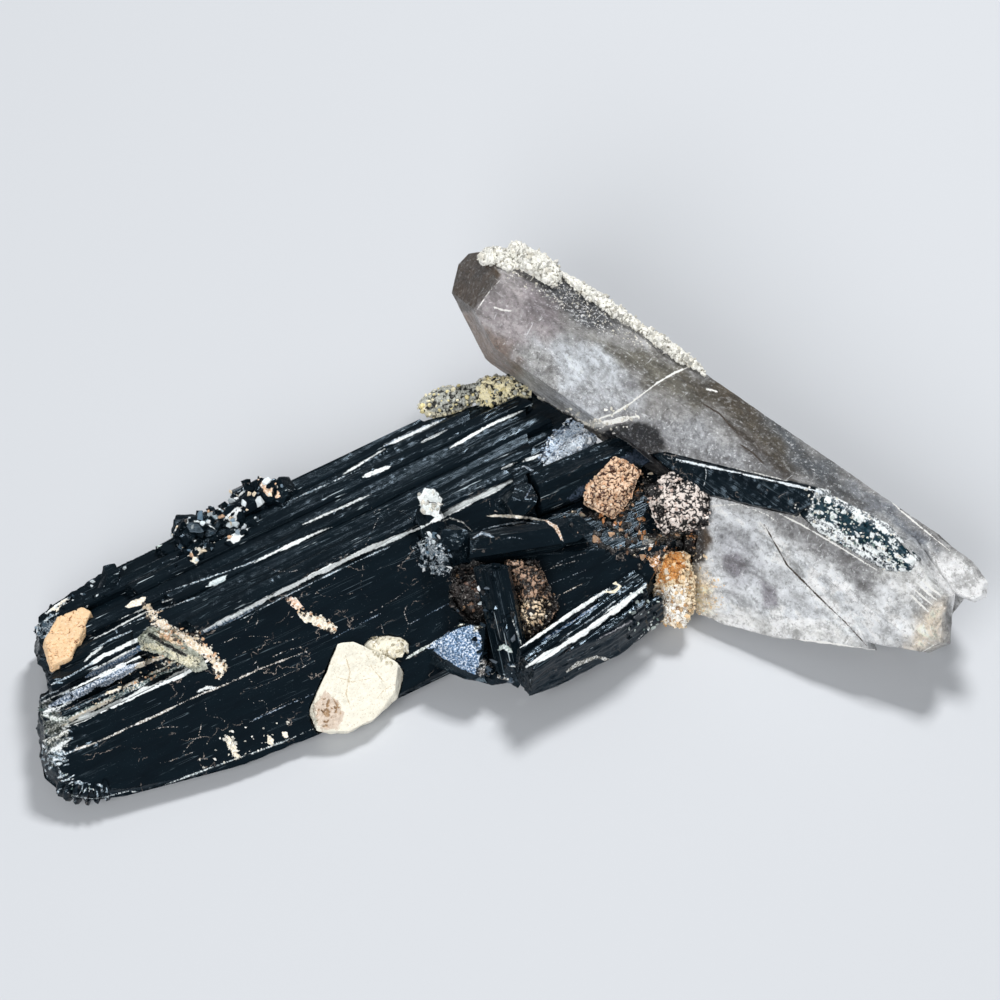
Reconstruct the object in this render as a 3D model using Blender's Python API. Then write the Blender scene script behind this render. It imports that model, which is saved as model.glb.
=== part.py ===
"""A hand specimen of smoky quartz with aegirine.

A long smoky quartz point leans across a striated black aegirine blade. Shorter quartz lobes grow from its side,
a second aegirine blade and a cluster of small ones fill the middle, and cream feldspar and pale crusts lie between.
The specimen rests on the blade's flat underside, and the quartz is held clear of the table.

+X is to the right, +Y away from the viewer and +Z up, from the middle of the specimen's footprint. Lengths are
millimetres, and MM turns them into metres. Angles are degrees.
"""

import math
import random

import bmesh
import bpy
from mathutils import Matrix, Vector, noise

MM = 0.001
GAP = 0.3
BLANK = 260.0
SEED = 7

# Where the middle of the finished specimen lies among the places given below.
MIDDLE = (1.03, -14.18, 0.0)

QUARTZ = ("smoky_quartz", (0.42, 0.40, 0.38), 0.15)
AEGIRINE = ("aegirine", (0.012, 0.018, 0.017), 0.22)
FELDSPAR = ("feldspar", (0.80, 0.70, 0.52), 0.7)
PALE_CRUST = ("pale_crust", (0.80, 0.76, 0.64), 0.85)
TAN_CRUST = ("tan_crust", (0.66, 0.45, 0.26), 0.85)

# The big blade's own frame: x along the blade, y across it towards the back, with its long ridge on y = 0.
BLADE = ((-17.5, -19.5, 0.0), 31.0)
RIDGE_HEIGHT = 12.1
RIDGE_SLOPE = 0.05
FRONT_SLOPE = 0.6
BACK_SLOPE = -0.11
BELT_HEIGHT = 2.1
UNDERCUT = 38.0

# The quartz point's own frame: x along the point towards its tip.
POINT_CENTRE = (21.25, 1.0, 14.9)
POINT_AZIMUTH = 143.0
POINT_PITCH = 9.5
POINT_APOTHEM = 6.67
EDGE_RADIUS = 7.3
FACE_TURN = 40.0


def clear_scene():
    for obj in list(bpy.data.objects):
        bpy.data.objects.remove(obj, do_unlink=True)


def collection(name):
    made = bpy.data.collections.new(name)
    bpy.context.scene.collection.children.link(made)
    return made


def material(look):
    name, colour, roughness = look
    made = bpy.data.materials.get(name)
    if made is None:
        made = bpy.data.materials.new(name)
        made.use_nodes = True
        shader = made.node_tree.nodes["Principled BSDF"]
        shader.inputs["Base Color"].default_value = (*colour, 1.0)
        shader.inputs["Roughness"].default_value = roughness
        shader.inputs["Metallic"].default_value = 0.0
    return made


def frame(centre, azimuth=0.0, pitch=0.0, roll=0.0):
    """A crystal's own frame: x along it, rising by pitch, y to its left and z up, turned by roll about x."""
    return (
        Matrix.Translation(Vector(centre) * MM)
        @ Matrix.Rotation(math.radians(azimuth), 4, "Z")
        @ Matrix.Rotation(math.radians(-pitch), 4, "Y")
        @ Matrix.Rotation(math.radians(roll), 4, "X")
    )


def direction(tilt, turn):
    """A face's normal: tilt away from the crystal's x axis, turn about it, from y towards z."""
    a, b = math.radians(tilt), math.radians(turn)
    return Vector((math.cos(a), math.sin(a) * math.cos(b), math.sin(a) * math.sin(b)))


def blank():
    bm = bmesh.new()
    bmesh.ops.create_cube(bm, size=BLANK * MM)
    return bm


def cleave(bm, point, normal):
    """Splits the stone along a plane, drops what lies beyond it and closes the flat cut."""
    bmesh.ops.bisect_plane(
        bm,
        geom=bm.verts[:] + bm.edges[:] + bm.faces[:],
        dist=1e-8,
        plane_co=Vector(point) * MM,
        plane_no=Vector(normal),
        clear_outer=True,
    )
    open_edges = [edge for edge in bm.edges if edge.is_boundary]
    bmesh.ops.holes_fill(bm, edges=open_edges, sides=0)


def finish(bm, placed):
    bmesh.ops.transform(bm, matrix=placed, verts=bm.verts[:])
    bmesh.ops.recalc_face_normals(bm, faces=bm.faces[:])
    return bm


def crystal(faces, placed, grow=0.0):
    """A convex crystal. Each face is (tilt, turn, distance from the middle)."""
    bm = blank()
    for tilt, turn, distance in faces:
        normal = direction(tilt, turn)
        cleave(bm, normal * (distance + grow), normal)
    return finish(bm, placed)


def prism(radius, half_length, placed, grow=0.0, flat=1.0, point=50.0, spin=0.0):
    """A six-sided crystal, blunt at one end; flat below 1 squashes it into a blade. Point is its end faces' tilt."""
    faces = []
    for turn in range(0, 360, 60):
        thin = flat if turn in (60, 120, 240, 300) else 1.0
        faces.append((90.0, turn + spin, radius * thin))
    for tilt, turn in ((point, 90.0), (point + 6.0, 215.0), (point - 12.0, 330.0)):
        faces.append((tilt, turn + spin, half_length * math.cos(math.radians(tilt))))
    faces.append((168.0, spin + 40.0, half_length))
    return crystal(faces, placed, grow)


def boulder(outline, tops, placed, belt=BELT_HEIGHT, crown=8.0, under=UNDERCUT, base=0.0, grow=0.0):
    """A convex block: its widest outline lies at the belt, its walls lean in above it and are undercut below it.

    The outline runs anticlockwise. Each top is (height at the frame's origin, slope along x, slope along y).
    """
    bm = blank()
    for start, end in zip(outline, outline[1:] + outline[:1]):
        side = Vector((end[1] - start[1], start[0] - end[0], 0.0)).normalized()
        for lean in (crown, -under):
            rise = Vector((0.0, 0.0, math.sin(math.radians(lean))))
            normal = side * math.cos(math.radians(lean)) + rise
            cleave(bm, Vector((*start, belt)) + normal * grow, normal)
    for height, along, across in tops:
        normal = Vector((-along, -across, 1.0)).normalized()
        cleave(bm, Vector((0.0, 0.0, height)) + normal * grow, normal)
    cleave(bm, (0.0, 0.0, base - grow), (0.0, 0.0, -1.0))
    return finish(bm, placed)


def lath(span, reach, top, placed, low=0.0, chamfer=0.3, skew=(0.0, 0.0), grow=0.0):
    """One strip of a striated blade: reach along x, span across it, its top a (height, slope) line.

    Both long edges are chamfered, and the ends are broken off at a skew.
    """
    (near, far), (start, end), (height, slope) = span, reach, top
    bm = blank()
    middle = (start + end) / 2
    crest = height + slope * middle + grow
    up = Vector((-slope, 0.0, 1.0)).normalized()
    cleave(bm, (start - grow, (near + far) / 2, 0.0), (-1.0, skew[0], 0.12))
    cleave(bm, (end + grow, (near + far) / 2, 0.0), (1.0, skew[1], 0.12))
    cleave(bm, (0.0, 0.0, low - grow), (0.0, 0.0, -1.0))
    cleave(bm, (middle, 0.0, crest), up)
    for side, edge in ((-1.0, near - grow), (1.0, far + grow)):
        cleave(bm, (0.0, edge, 0.0), (0.0, side, 0.0))
        cleave(bm, (middle, edge, crest - chamfer), up + Vector((0.0, side, 0.0)))
    return finish(bm, placed)


def lump(radii, placed, detail=3, bumps=0.2, spacing=2.2, seed=0, grow=0.0):
    """A knobbly patch of small grains, as one rounded body."""
    bm = bmesh.new()
    bmesh.ops.create_icosphere(bm, subdivisions=detail, radius=1.0)
    shift = Vector((seed * 3.7, seed * 1.9, seed * 5.3))
    for vert in bm.verts:
        at = Vector(tuple(c * r for c, r in zip(vert.co, radii)))
        rough = noise.noise(at / spacing + shift) + 0.5 * noise.noise(at * 2.1 / spacing - shift)
        vert.co = (at * (1 + bumps * rough) + vert.co * grow) * MM
    return finish(bm, placed)


def crust_bed(outline, placed, depth, grow=0.0):
    """A flat-topped patch of crust. The outline runs clockwise as the viewer sees it, and the top lies on z = 0."""
    tops = [(0.0, 0.04, 0.06), (0.3, -0.14, -0.1)]
    return boulder(outline[::-1], tops, placed, -0.8, 28.0, 12.0, -depth, grow)


def point_frame(roll=0.0):
    return frame(POINT_CENTRE, POINT_AZIMUTH, POINT_PITCH, roll)


def face_frame():
    """Lies on the quartz point's broad front face: z is the face's normal, y runs down towards the viewer."""
    return point_frame(FACE_TURN - 90.0)


def quartz_point(grow):
    """The long six-sided crystal, its tip's faces and the worn far end."""
    apothems = (POINT_APOTHEM, POINT_APOTHEM - 0.4, POINT_APOTHEM - 0.5, *(3 * [POINT_APOTHEM]))
    sides = [(90.0, FACE_TURN + 60.0 * k, apothem) for k, apothem in enumerate(apothems)]
    tip = [(45.0, 48.0, 23.8), (68.0, -12.0, 14.9), (50.0, 128.0, 23.6), (55.0, 200.0, 20.5), (60.0, 275.0, 17.3)]
    worn_end = [(118.0, 76.6, 21.5), (165.0, 60.0, 43.0), (135.0, 250.0, 31.0)]
    return crystal(sides + tip + worn_end, point_frame(), grow)


def quartz_left_lobe(grow):
    """The crystal beside the point on the viewer's side, its face dipping a little less than the point's."""
    outline = [(-11.0, 4.5), (-19.7, -2.0), (-33.0, 4.0), (-39.5, 8.3), (-36.0, 10.2), (-27.5, 14.6), (-21.4, 16.8),
               (-17.4, 17.8), (-13.8, 13.0)]
    tops = [(6.4, 0.0, -0.03), (8.1, 0.0, -0.17)]
    return boulder(outline[::-1], tops, face_frame(), 4.6, 12.0, 35.0, -2.5, grow)


def quartz_right_lobe(grow):
    """The broken crystal under the point's worn end, with a seam between it and the left lobe."""
    outline = [(-20.0, 0.0), (-36.0, -6.0), (-44.0, -3.0), (-46.6, 2.5), (-45.0, 5.2), (-37.6, 8.5), (-25.0, 4.8)]
    tops = [(6.1, -0.012, 0.0), (8.5, 0.05, -0.1)]
    return boulder(outline[::-1], tops, face_frame(), 3.6, 10.0, 30.0, -3.0, grow)


def quartz_nub(grow):
    """The rounded clear nub beyond the notch at the far end."""
    outline = [(-36.0, -7.4), (-43.4, -7.3), (-46.4, -6.2), (-47.2, -4.6), (-46.3, -3.2), (-43.6, -2.4), (-36.0, -1.6)]
    return boulder(outline[::-1], [(4.4, 0.03, 0.03)], face_frame(), 2.0, 25.0, 35.0, -4.0, grow)


def quartz_hillocks(grow):
    """Small growth ridges that stand in a row above the notch."""
    ridges = []
    for step in range(4):
        along = -40.9 - 1.15 * step
        placed = face_frame() @ Matrix.Translation(Vector((along, -1.2 + 0.4 * step, 5.9)) * MM)
        ridges.append(lump((0.45, 1.9, 0.75), placed, 2, 0.1, 2.0, step, grow))
    return ridges


def smoky_quartz(grow=0.0):
    lobes = [quartz_point(grow), quartz_left_lobe(grow), quartz_right_lobe(grow), quartz_nub(grow)]
    return lobes + ([] if grow else quartz_hillocks(grow))


def sliver_aegirine(grow=0.0):
    """The dark blade let into the quartz point's front face, and the speckled crystals that carry it on."""
    blade = [(-2.6, 3.6), (-3.9, 2.4), (-11.1, -0.3), (-24.2, -5.2), (-24.0, -3.4), (-22.4, -0.6), (-15.6, 2.1),
             (-10.0, 4.2)]
    tail = [(-22.4, -0.9), (-23.6, -4.7), (-32.6, -5.9), (-38.3, -4.6), (-38.4, -2.9), (-35.6, -1.2), (-26.0, -0.4)]
    return [
        boulder(blade[::-1], [(7.35, 0.0, -0.02)], face_frame(), 6.2, 20.0, 8.0, 4.2, grow),
        boulder(tail[::-1], [(6.75, 0.002, -0.02)], face_frame(), 6.0, 30.0, 15.0, 4.6, grow),
    ]


def back_aegirine(grow=0.0):
    """The dark crystal that ends against the quartz at the top of the middle."""
    placed = frame((12.9, -5.6, 12.6), 25.0, 5.0)
    return [prism(2.7, 9.3, placed, grow, 0.85, 70.0, 20.0)]


def blade_frame(along=0.0, across=0.0, height=0.0, turn=0.0):
    centre, azimuth = BLADE
    return frame(centre, azimuth) @ frame((along, across, height), turn)


def blade_slab(grow):
    outline = [(-38.0, 15.4), (-44.2, 2.5), (-46.8, -4.0), (-46.2, -7.2), (-43.8, -9.9), (-39.6, -11.6),
               (-24.8, -14.8), (-10.0, -15.6), (8.0, -15.2), (24.0, -10.0), (33.5, -3.0), (37.8, 6.2), (35.0, 13.7),
               (18.6, 17.2), (-28.0, 17.4)]
    tops = [
        (RIDGE_HEIGHT - 0.5, RIDGE_SLOPE, BACK_SLOPE),
        (RIDGE_HEIGHT, RIDGE_SLOPE, FRONT_SLOPE),
        (9.2 + 0.45 * 42.0, 0.45, 0.0),
    ]
    return boulder(outline, tops, blade_frame(), grow=grow)


# How far each ledge runs under the one in front of it.
LEDGE_LAP = 0.12

# Each ledge on the blade: near and far edge across it, start and end along it, drop below the ridge line.
LEDGES = (
    (0.0, 2.3, -24.6, 23.4, -0.75),
    (2.3, 5.6, -31.0, 28.6, 0.1),
    (5.6, 7.6, -24.5, 32.4, -0.2),
    (7.6, 9.7, -35.0, 31.0, 0.45),
    (9.7, 11.8, -27.5, 32.0, 0.2),
    (11.8, 13.7, -37.0, 25.0, 0.85),
    (13.7, 15.9, -21.0, 19.8, 1.0),
    (5.0, 6.6, -40.0, -30.0, 0.6),
)


def blade_ledges(grow):
    strips = []
    for index, (near, far, start, end, drop) in enumerate(LEDGES):
        skew = (0.5 if index % 2 else -0.3, -0.4 if index % 2 else 0.5)
        top = (RIDGE_HEIGHT - drop, RIDGE_SLOPE)
        strips.append(lath((near - LEDGE_LAP, far), (start, end), top, blade_frame(), 4.0, 0.3, skew, grow))
    return strips


def blade_trough():
    """The hollow at the blade's left end, where strips have broken out."""
    return lath((-3.1, 4.4), (-60.0, -26.5), (40.0, 0.0), blade_frame(), 7.0, 0.3, (0.0, 0.8))


def blade_notches():
    """The bay in the blade's left edge, and the undercut below the nub behind it."""
    return [
        lump((3.4, 3.6, 12.0), blade_frame(-42.0, 7.8, 6.0), 3, 0.1, 4.0, 3),
        lump((3.2, 4.0, 3.4), blade_frame(-41.5, 12.0, 2.0), 2, 0.1, 4.0, 4),
    ]


def trough_strips(grow):
    strips = []
    for near, far, start, end, height, tip in (
        (2.6, 4.6, -42.6, -27.5, 11.3, 0.2),
        (0.5, 1.9, -40.5, -29.0, 11.1, -0.3),
        (-1.6, -0.3, -45.0, -33.0, 10.6, 0.4),
        (-3.6, -2.6, -45.2, -25.5, 9.9, 0.3),
    ):
        top = (height, RIDGE_SLOPE)
        strips.append(lath((near, far), (start, end), top, blade_frame(), 4.0, 0.35, (tip, -tip), grow))
    return strips


def fluted_end(grow):
    """The blade's rounded lower left end, worn into short flutes."""
    flutes = []
    for step in range(6):
        turn = 190.0 + 15.0 * step
        at = (-41.1 + 4.5 * math.cos(math.radians(turn)), -6.2 + 3.7 * math.sin(math.radians(turn)))
        flutes.append(lump((1.3, 0.65, 1.9), blade_frame(*at, 2.7, turn), 2, 0.15, 2.0, step, grow))
    return flutes


def edge_cluster(grow):
    """Small crystals heaped on the blade's back edge."""
    rng = random.Random(SEED)
    heap = [prism(1.3, 2.6, frame((-38.0, -14.2, 11.3), -8.0, 6.0), grow, 0.9, 60.0, 15.0)]
    for step in range(9):
        share = step / 8
        at = (-15.6 + 13.0 * share, 16.0 + rng.uniform(-1.6, 0.8), 10.7 + rng.uniform(-0.2, 0.7))
        placed = blade_frame(*at, rng.uniform(-40.0, 60.0)) @ frame((0.0, 0.0, 0.0), 0.0, rng.uniform(5.0, 35.0))
        heap.append(prism(rng.uniform(1.0, 1.6), rng.uniform(1.8, 2.8), placed, grow, 0.9, 55.0, rng.uniform(0, 60)))
    heap.append(prism(1.2, 2.3, blade_frame(-27.6, 14.0, 9.6, 40.0) @ frame((0.0, 0.0, 0.0), 0.0, 40.0), grow))
    return heap


def core(grow):
    """The dark mass of intergrown aegirine under the middle of the specimen."""
    outline = [(-9.5, -29.4), (-1.0, -32.4), (7.5, -30.6), (14.6, -27.6), (19.0, -22.4), (23.6, -14.5), (23.8, -8.0),
               (18.0, -1.5), (4.0, 0.0), (-10.0, -12.0)]
    tops = [(19.8, 0.0, 0.52), (10.9, 0.02, 0.03)]
    return boulder(outline, tops, frame((0.0, 0.0, 0.0)), grow=grow)


def aegirine_blade(grow=0.0):
    grown = [blade_slab(grow), core(grow), *blade_ledges(grow), *edge_cluster(grow), *fluted_end(grow)]
    return grown + small_aegirines(grow)


def front_aegirine(grow=0.0):
    """The second striated blade, at the front of the middle, with a splintered right end."""
    placed = frame((10.5, -30.7, 0.0), 41.0)
    outline = [(-8.8, 0.4), (-5.0, -0.7), (4.0, -1.9), (9.0, -1.6), (12.0, 1.2), (12.0, 4.6), (-8.0, 4.4)]
    blade = boulder(outline, [(9.6, 0.03, -0.02)], placed, 4.6, 6.0, 40.0, 2.2, grow)
    ridges = []
    for near, far, start, end, height in ((-0.2, 0.7, -9.6, 11.6, 10.2), (1.5, 2.2, -7.5, 10.5, 9.95),
                                          (3.0, 3.8, -9.0, 6.2, 10.3)):
        ridges.append(lath((near, far), (start, end), (height, 0.03), placed, 6.0, 0.25, (0.3, -0.4), grow))
    for step in range(4):
        near = -1.1 + 1.5 * step
        ridges.append(lath((near, near + 0.9), (8.0, 12.6 - 0.5 * (step % 2)), (8.6 - 0.9 * (step % 3), 0.0), placed, 4.2,
                           0.2, (0.0, 0.3), grow))
    return [blade, *ridges]


def small_aegirines(grow=0.0):
    """The lying prism, the knob and its pale head, the blocks and the steep prism in the middle."""
    lying = prism(1.85, 8.0, frame((4.0, -17.4, 12.4), 12.0, 0.0), grow, 0.95, 65.0, 10.0)
    knob = prism(2.3, 2.6, frame((-6.2, -18.6, 12.4), -60.0, 35.0), grow, 1.0, 35.0, 10.0)
    head = prism(1.5, 2.2, frame((-8.6, -15.2, 13.8), 120.0, 40.0), grow, 1.0, 45.0, 30.0)
    block = prism(2.1, 2.6, frame((3.2, -10.8, 12.2), 40.0, 20.0), grow, 1.0, 60.0, 0.0)
    steep = prism(2.1, 7.6, frame((0.6, -28.4, 8.2), -72.0, -47.0), grow, 0.8, 62.0, 25.0)
    facet = boulder([(-8.9, -30.4), (-4.4, -33.0), (-1.6, -33.6), (-0.8, -28.0), (-5.2, -27.2)],
                    [(19.6, 0.1, 0.36)], frame((0.0, 0.0, 0.0)), 4.0, 10.0, 40.0, 2.0, grow)
    return [lying, knob, head, block, steep, facet]


def cream_feldspar(grow=0.0):
    """The cream crystal let into the blade's lower edge, with a granular foot on its right."""
    outline = [(-8.2, -7.0), (-14.3, -12.4), (-15.1, -15.3), (-11.6, -17.3), (-8.0, -17.3), (-4.0, -15.8),
               (-1.4, -13.2), (-2.4, -11.4), (-5.4, -8.0)]
    tops = [(RIDGE_HEIGHT + 1.2, RIDGE_SLOPE, FRONT_SLOPE - 0.02), (14.0, 0.1, 0.45)]
    return [
        boulder(outline, tops, blade_frame(), 3.0, 14.0, 30.0, 1.0, grow),
        lump((3.2, 1.7, 1.2), blade_frame(-2.4, -9.9, 5.5, -30.0), 2, 0.2, 1.5, 11, grow),
    ]


def left_tan_feldspar(grow=0.0):
    """The orange-tan granular patch behind the lying prism."""
    outline = [(0.2, 4.0), (3.4, 2.0), (2.0, -1.6), (0.1, -4.0), (-3.6, -2.1), (-3.1, 0.0)]
    return [crust_bed(outline, frame((14.1, -9.8, 14.1), 0.0, 0.0, 25.0), 4.0, grow)]


def right_tan_feldspar(grow=0.0):
    """The paler granular patch against the quartz."""
    outline = [(-4.4, 1.7), (-1.2, 3.7), (2.9, 3.3), (3.5, 0.9), (3.2, -2.9), (-2.1, -3.8), (-3.1, -2.3)]
    return [crust_bed(outline, frame((22.5, -13.1, 14.9), 0.0, 0.0, 25.0), 4.5, grow)]


def left_rubble(grow=0.0):
    """The brown grains on the steep prism's left."""
    outline = [(-2.4, 3.1), (0.4, 4.1), (2.8, 2.3), (3.1, -1.3), (2.6, -4.1), (-0.6, -3.8), (-2.9, -1.3)]
    return [crust_bed(outline, frame((-3.1, -24.4, 10.8), 0.0, 0.0, 30.0), 5.0, grow)]


def right_rubble(grow=0.0):
    """The tan grains on the steep prism's right."""
    outline = [(-2.2, 5.1), (1.5, 5.1), (4.0, -0.5), (3.0, -2.3), (-0.4, -5.1), (-1.5, -4.1)]
    return [crust_bed(outline, frame((3.0, -25.3, 9.8), 0.0, 0.0, 30.0), 5.0, grow)]


def trough_crust(grow=0.0):
    """The cream rubble over the end of the hollow in the blade."""
    outline = [(-3.2, 3.2), (-1.2, 3.9), (1.2, 1.2), (2.9, -2.4), (2.6, -4.0), (1.0, -3.8), (-1.6, -0.6), (-3.2, 2.0)]
    placed = blade_frame(-26.4, -0.6, 10.9) @ frame((0.0, 0.0, 0.0), 0.0, 0.0, 20.0)
    return [crust_bed(outline, placed, 2.6, grow)]


def orange_crust(grow=0.0):
    """The rusty crust between the front blade and the quartz lobe."""
    outline = [(-2.3, 4.1), (-0.4, 5.3), (2.1, 4.9), (3.1, 1.9), (2.9, -2.1), (2.0, -3.8), (-0.4, -3.4), (-1.7, -0.9)]
    return [crust_bed(outline, frame((20.9, -21.6, 6.5), 0.0, 0.0, 45.0), 4.0, grow)]


def edge_crust(grow=0.0):
    """The bubbly crust along the blade's back edge, next to the quartz."""
    return [
        lump((3.9, 1.8, 1.6), blade_frame(23.1, 16.8, 11.3, -12.0), 3, 0.28, 1.5, 8, grow),
        lump((4.0, 2.0, 1.7), blade_frame(28.6, 14.4, 12.0, -28.0), 3, 0.28, 1.5, 9, grow),
    ]


def contact_crust(grow=0.0):
    """The blue-white grains where the blade, the quartz and the back crystal meet."""
    outline = [(-3.4, -2.3), (-1.3, 0.5), (1.6, 3.1), (3.5, 2.2), (2.5, 0.1), (0.2, -1.8), (-2.1, -2.9)]
    return [crust_bed(outline, frame((8.7, -3.7, 14.2), 0.0, 0.0, 10.0), 3.0, grow)]


def quartz_crust(grow=0.0):
    """The white crust on the quartz tip, thinning out along the upper edge."""
    edge = point_frame(FACE_TURN)
    spots = (
        ((4.2, 2.3, 1.6), (24.8, 1.4, EDGE_RADIUS - 0.7)),
        ((3.2, 2.3, 1.9), (28.2, 2.4, EDGE_RADIUS - 3.0)),
        ((7.2, 1.0, 0.8), (14.6, 0.3, EDGE_RADIUS - 0.1)),
        ((5.4, 1.1, 0.85), (4.4, 0.3, EDGE_RADIUS - 0.1)),
    )
    return [
        lump(radii, edge @ Matrix.Translation(Vector(at) * MM), 3, 0.24, 1.5, index, grow)
        for index, (radii, at) in enumerate(spots)
    ]


def tan_patch(grow=0.0):
    """The smooth tan crust in the notch at the blade's left end."""
    outline = [(-39.6, 9.4), (-41.2, 4.6), (-37.8, 4.4), (-31.8, 9.8), (-32.6, 11.6), (-36.4, 11.9)]
    return [boulder(outline, [(12.7, 0.06, -0.02)], blade_frame(), 7.4, 12.0, 20.0, 4.5, grow)]


def helper(name, bm, look, group):
    """Turns the bmesh into a named object that only joins or cuts, and isn't drawn."""
    obj = piece(name, bm, look, group)
    obj.hide_render = True
    obj.display_type = "WIRE"
    return obj


def footprint_middle(group):
    """The empty that carries every piece, so that the world's origin lies at the middle of the footprint."""
    carrier = bpy.data.objects.new("specimen", None)
    carrier.location = -Vector(MIDDLE) * MM
    group.objects.link(carrier)
    return carrier


def piece(name, bm, look, group):
    mesh = bpy.data.meshes.new(name)
    bm.to_mesh(mesh)
    bm.free()
    obj = bpy.data.objects.new(name, mesh)
    obj.parent = bpy.data.objects["specimen"]
    group.objects.link(obj)
    mesh.materials.append(material(look))
    return obj


def combine(obj, others, operation):
    for other in others:
        change = obj.modifiers.new(other.name, "BOOLEAN")
        change.operation = operation
        change.solver = "EXACT"
        change.object = other


def build(name, shapes, look, model, tools, clear_of=(), carve=(), restore=()):
    """Joins the shapes into one solid, carves it, and keeps it GAP clear of its neighbours."""
    first, *rest = shapes()
    obj = piece(name, first, look, model)
    joined = [helper(f"{name}_part_{i}", bm, look, tools) for i, bm in enumerate(rest)]
    combine(obj, joined, "UNION")
    combine(obj, [helper(f"{name}_hollow_{i}", bm, look, tools) for i, bm in enumerate(carve)], "DIFFERENCE")
    combine(obj, [helper(f"{name}_strip_{i}", bm, look, tools) for i, bm in enumerate(restore)], "UNION")
    for neighbour in clear_of:
        cutters = bpy.data.collections.get(f"clear_of_{neighbour.__name__}")
        if cutters is None:
            cutters = bpy.data.collections.new(f"clear_of_{neighbour.__name__}")
            tools.children.link(cutters)
            for i, bm in enumerate(neighbour(GAP)):
                helper(f"around_{neighbour.__name__}_{i}", bm, look, cutters)
        combine(obj, cutters.objects, "DIFFERENCE")
    return obj


def main():
    clear_scene()
    model = collection("smoky_quartz_with_aegirine")
    tools = collection("cutters")
    tools.hide_render = True
    footprint_middle(model)

    build("aegirine_sliver", sliver_aegirine, AEGIRINE, model, tools)
    build("aegirine_back", back_aegirine, AEGIRINE, model, tools)
    build("smoky_quartz", smoky_quartz, QUARTZ, model, tools, (sliver_aegirine, back_aegirine))
    build("feldspar", cream_feldspar, FELDSPAR, model, tools)
    build("aegirine_blade", aegirine_blade, AEGIRINE, model, tools,
          (smoky_quartz, back_aegirine, cream_feldspar), (blade_trough(), *blade_notches()), trough_strips(0.0))
    build("aegirine_front", front_aegirine, AEGIRINE, model, tools, (aegirine_blade,))
    build("feldspar_tan_left", left_tan_feldspar, TAN_CRUST, model, tools,
          (smoky_quartz, aegirine_blade, back_aegirine))
    build("feldspar_tan_right", right_tan_feldspar, TAN_CRUST, model, tools,
          (smoky_quartz, aegirine_blade, back_aegirine, sliver_aegirine, left_tan_feldspar))
    build("rubble_left", left_rubble, TAN_CRUST, model, tools, (aegirine_blade,))
    build("rubble_right", right_rubble, TAN_CRUST, model, tools, (aegirine_blade, front_aegirine))
    build("quartz_crust", quartz_crust, PALE_CRUST, model, tools, (smoky_quartz,))
    build("edge_crust", edge_crust, PALE_CRUST, model, tools, (aegirine_blade, smoky_quartz))
    build("contact_crust", contact_crust, PALE_CRUST, model, tools, (aegirine_blade, smoky_quartz, back_aegirine))
    build("orange_crust", orange_crust, TAN_CRUST, model, tools,
          (aegirine_blade, smoky_quartz, front_aegirine, right_tan_feldspar))
    build("tan_patch", tan_patch, TAN_CRUST, model, tools, (aegirine_blade,))
    build("trough_crust", trough_crust, PALE_CRUST, model, tools, (aegirine_blade,))


main()
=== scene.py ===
"""Finishes of a hand specimen of smoky quartz with aegirine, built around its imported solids.

Every crystal and crust is a detailed copy of its solid: finer, striated, pitted or ridged, and coloured in zones.
Lengths in the tables are millimetres and places marked at are pixels of the photograph's 1000 x 1000 frame.
"""

import math

import bpy
import numpy as np
from bpy.props import FloatProperty, FloatVectorProperty, PointerProperty
from mathutils import Matrix, Vector


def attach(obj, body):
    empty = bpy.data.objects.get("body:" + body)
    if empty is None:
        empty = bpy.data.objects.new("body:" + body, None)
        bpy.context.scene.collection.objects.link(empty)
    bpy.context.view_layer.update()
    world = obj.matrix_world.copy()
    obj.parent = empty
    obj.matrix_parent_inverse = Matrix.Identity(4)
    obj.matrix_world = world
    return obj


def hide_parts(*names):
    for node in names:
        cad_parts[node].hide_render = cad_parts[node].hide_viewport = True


bl_info = {
    "name": "Smoky quartz with aegirine",
    "version": (1, 0, 0),
    "blender": (4, 5, 0),
    "location": "View3D > Sidebar > Specimen",
    "description": "Builds the finished surfaces of a smoky quartz and aegirine specimen",
    "category": "Add Mesh",
}

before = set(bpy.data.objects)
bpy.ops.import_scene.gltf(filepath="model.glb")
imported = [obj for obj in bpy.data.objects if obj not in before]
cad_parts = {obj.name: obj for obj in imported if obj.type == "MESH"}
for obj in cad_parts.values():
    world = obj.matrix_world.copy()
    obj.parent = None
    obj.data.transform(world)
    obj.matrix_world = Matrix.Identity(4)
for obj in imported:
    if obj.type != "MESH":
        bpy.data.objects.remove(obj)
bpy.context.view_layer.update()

MM = 0.001
MIDDLE = np.array((1.03, -14.18, 0.0))

# The photograph's camera: what it looks at, how far away it stands, and how high.
AIM = np.array((-1.03, 3.68, 11.9))
REACH = 694.4
ELEVATION = 48.6
LENS = 200.0
SENSOR = 36.0
FRAME_SIDE = 1000.0
BACK = np.array((0.0, -math.cos(math.radians(ELEVATION)), math.sin(math.radians(ELEVATION))))
UP = np.array((0.0, math.sin(math.radians(ELEVATION)), math.cos(math.radians(ELEVATION))))


# Places and colours

def srgb(red, green, blue):
    """A colour seen on a screen, as the linear values that a shader takes."""
    shares = np.array((red, green, blue)) / 255.0
    return tuple(np.where(shares <= 0.04045, shares / 12.92, ((shares + 0.055) / 1.055) ** 2.4))


def pixels(points):
    """Where points (mm) show in the photograph's frame."""
    away = points - AIM
    depth = REACH - away @ BACK
    scale = LENS / SENSOR * FRAME_SIDE / depth
    return np.stack([FRAME_SIDE / 2 + away[:, 0] * scale, FRAME_SIDE / 2 - (away @ UP) * scale], axis=1)


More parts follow.
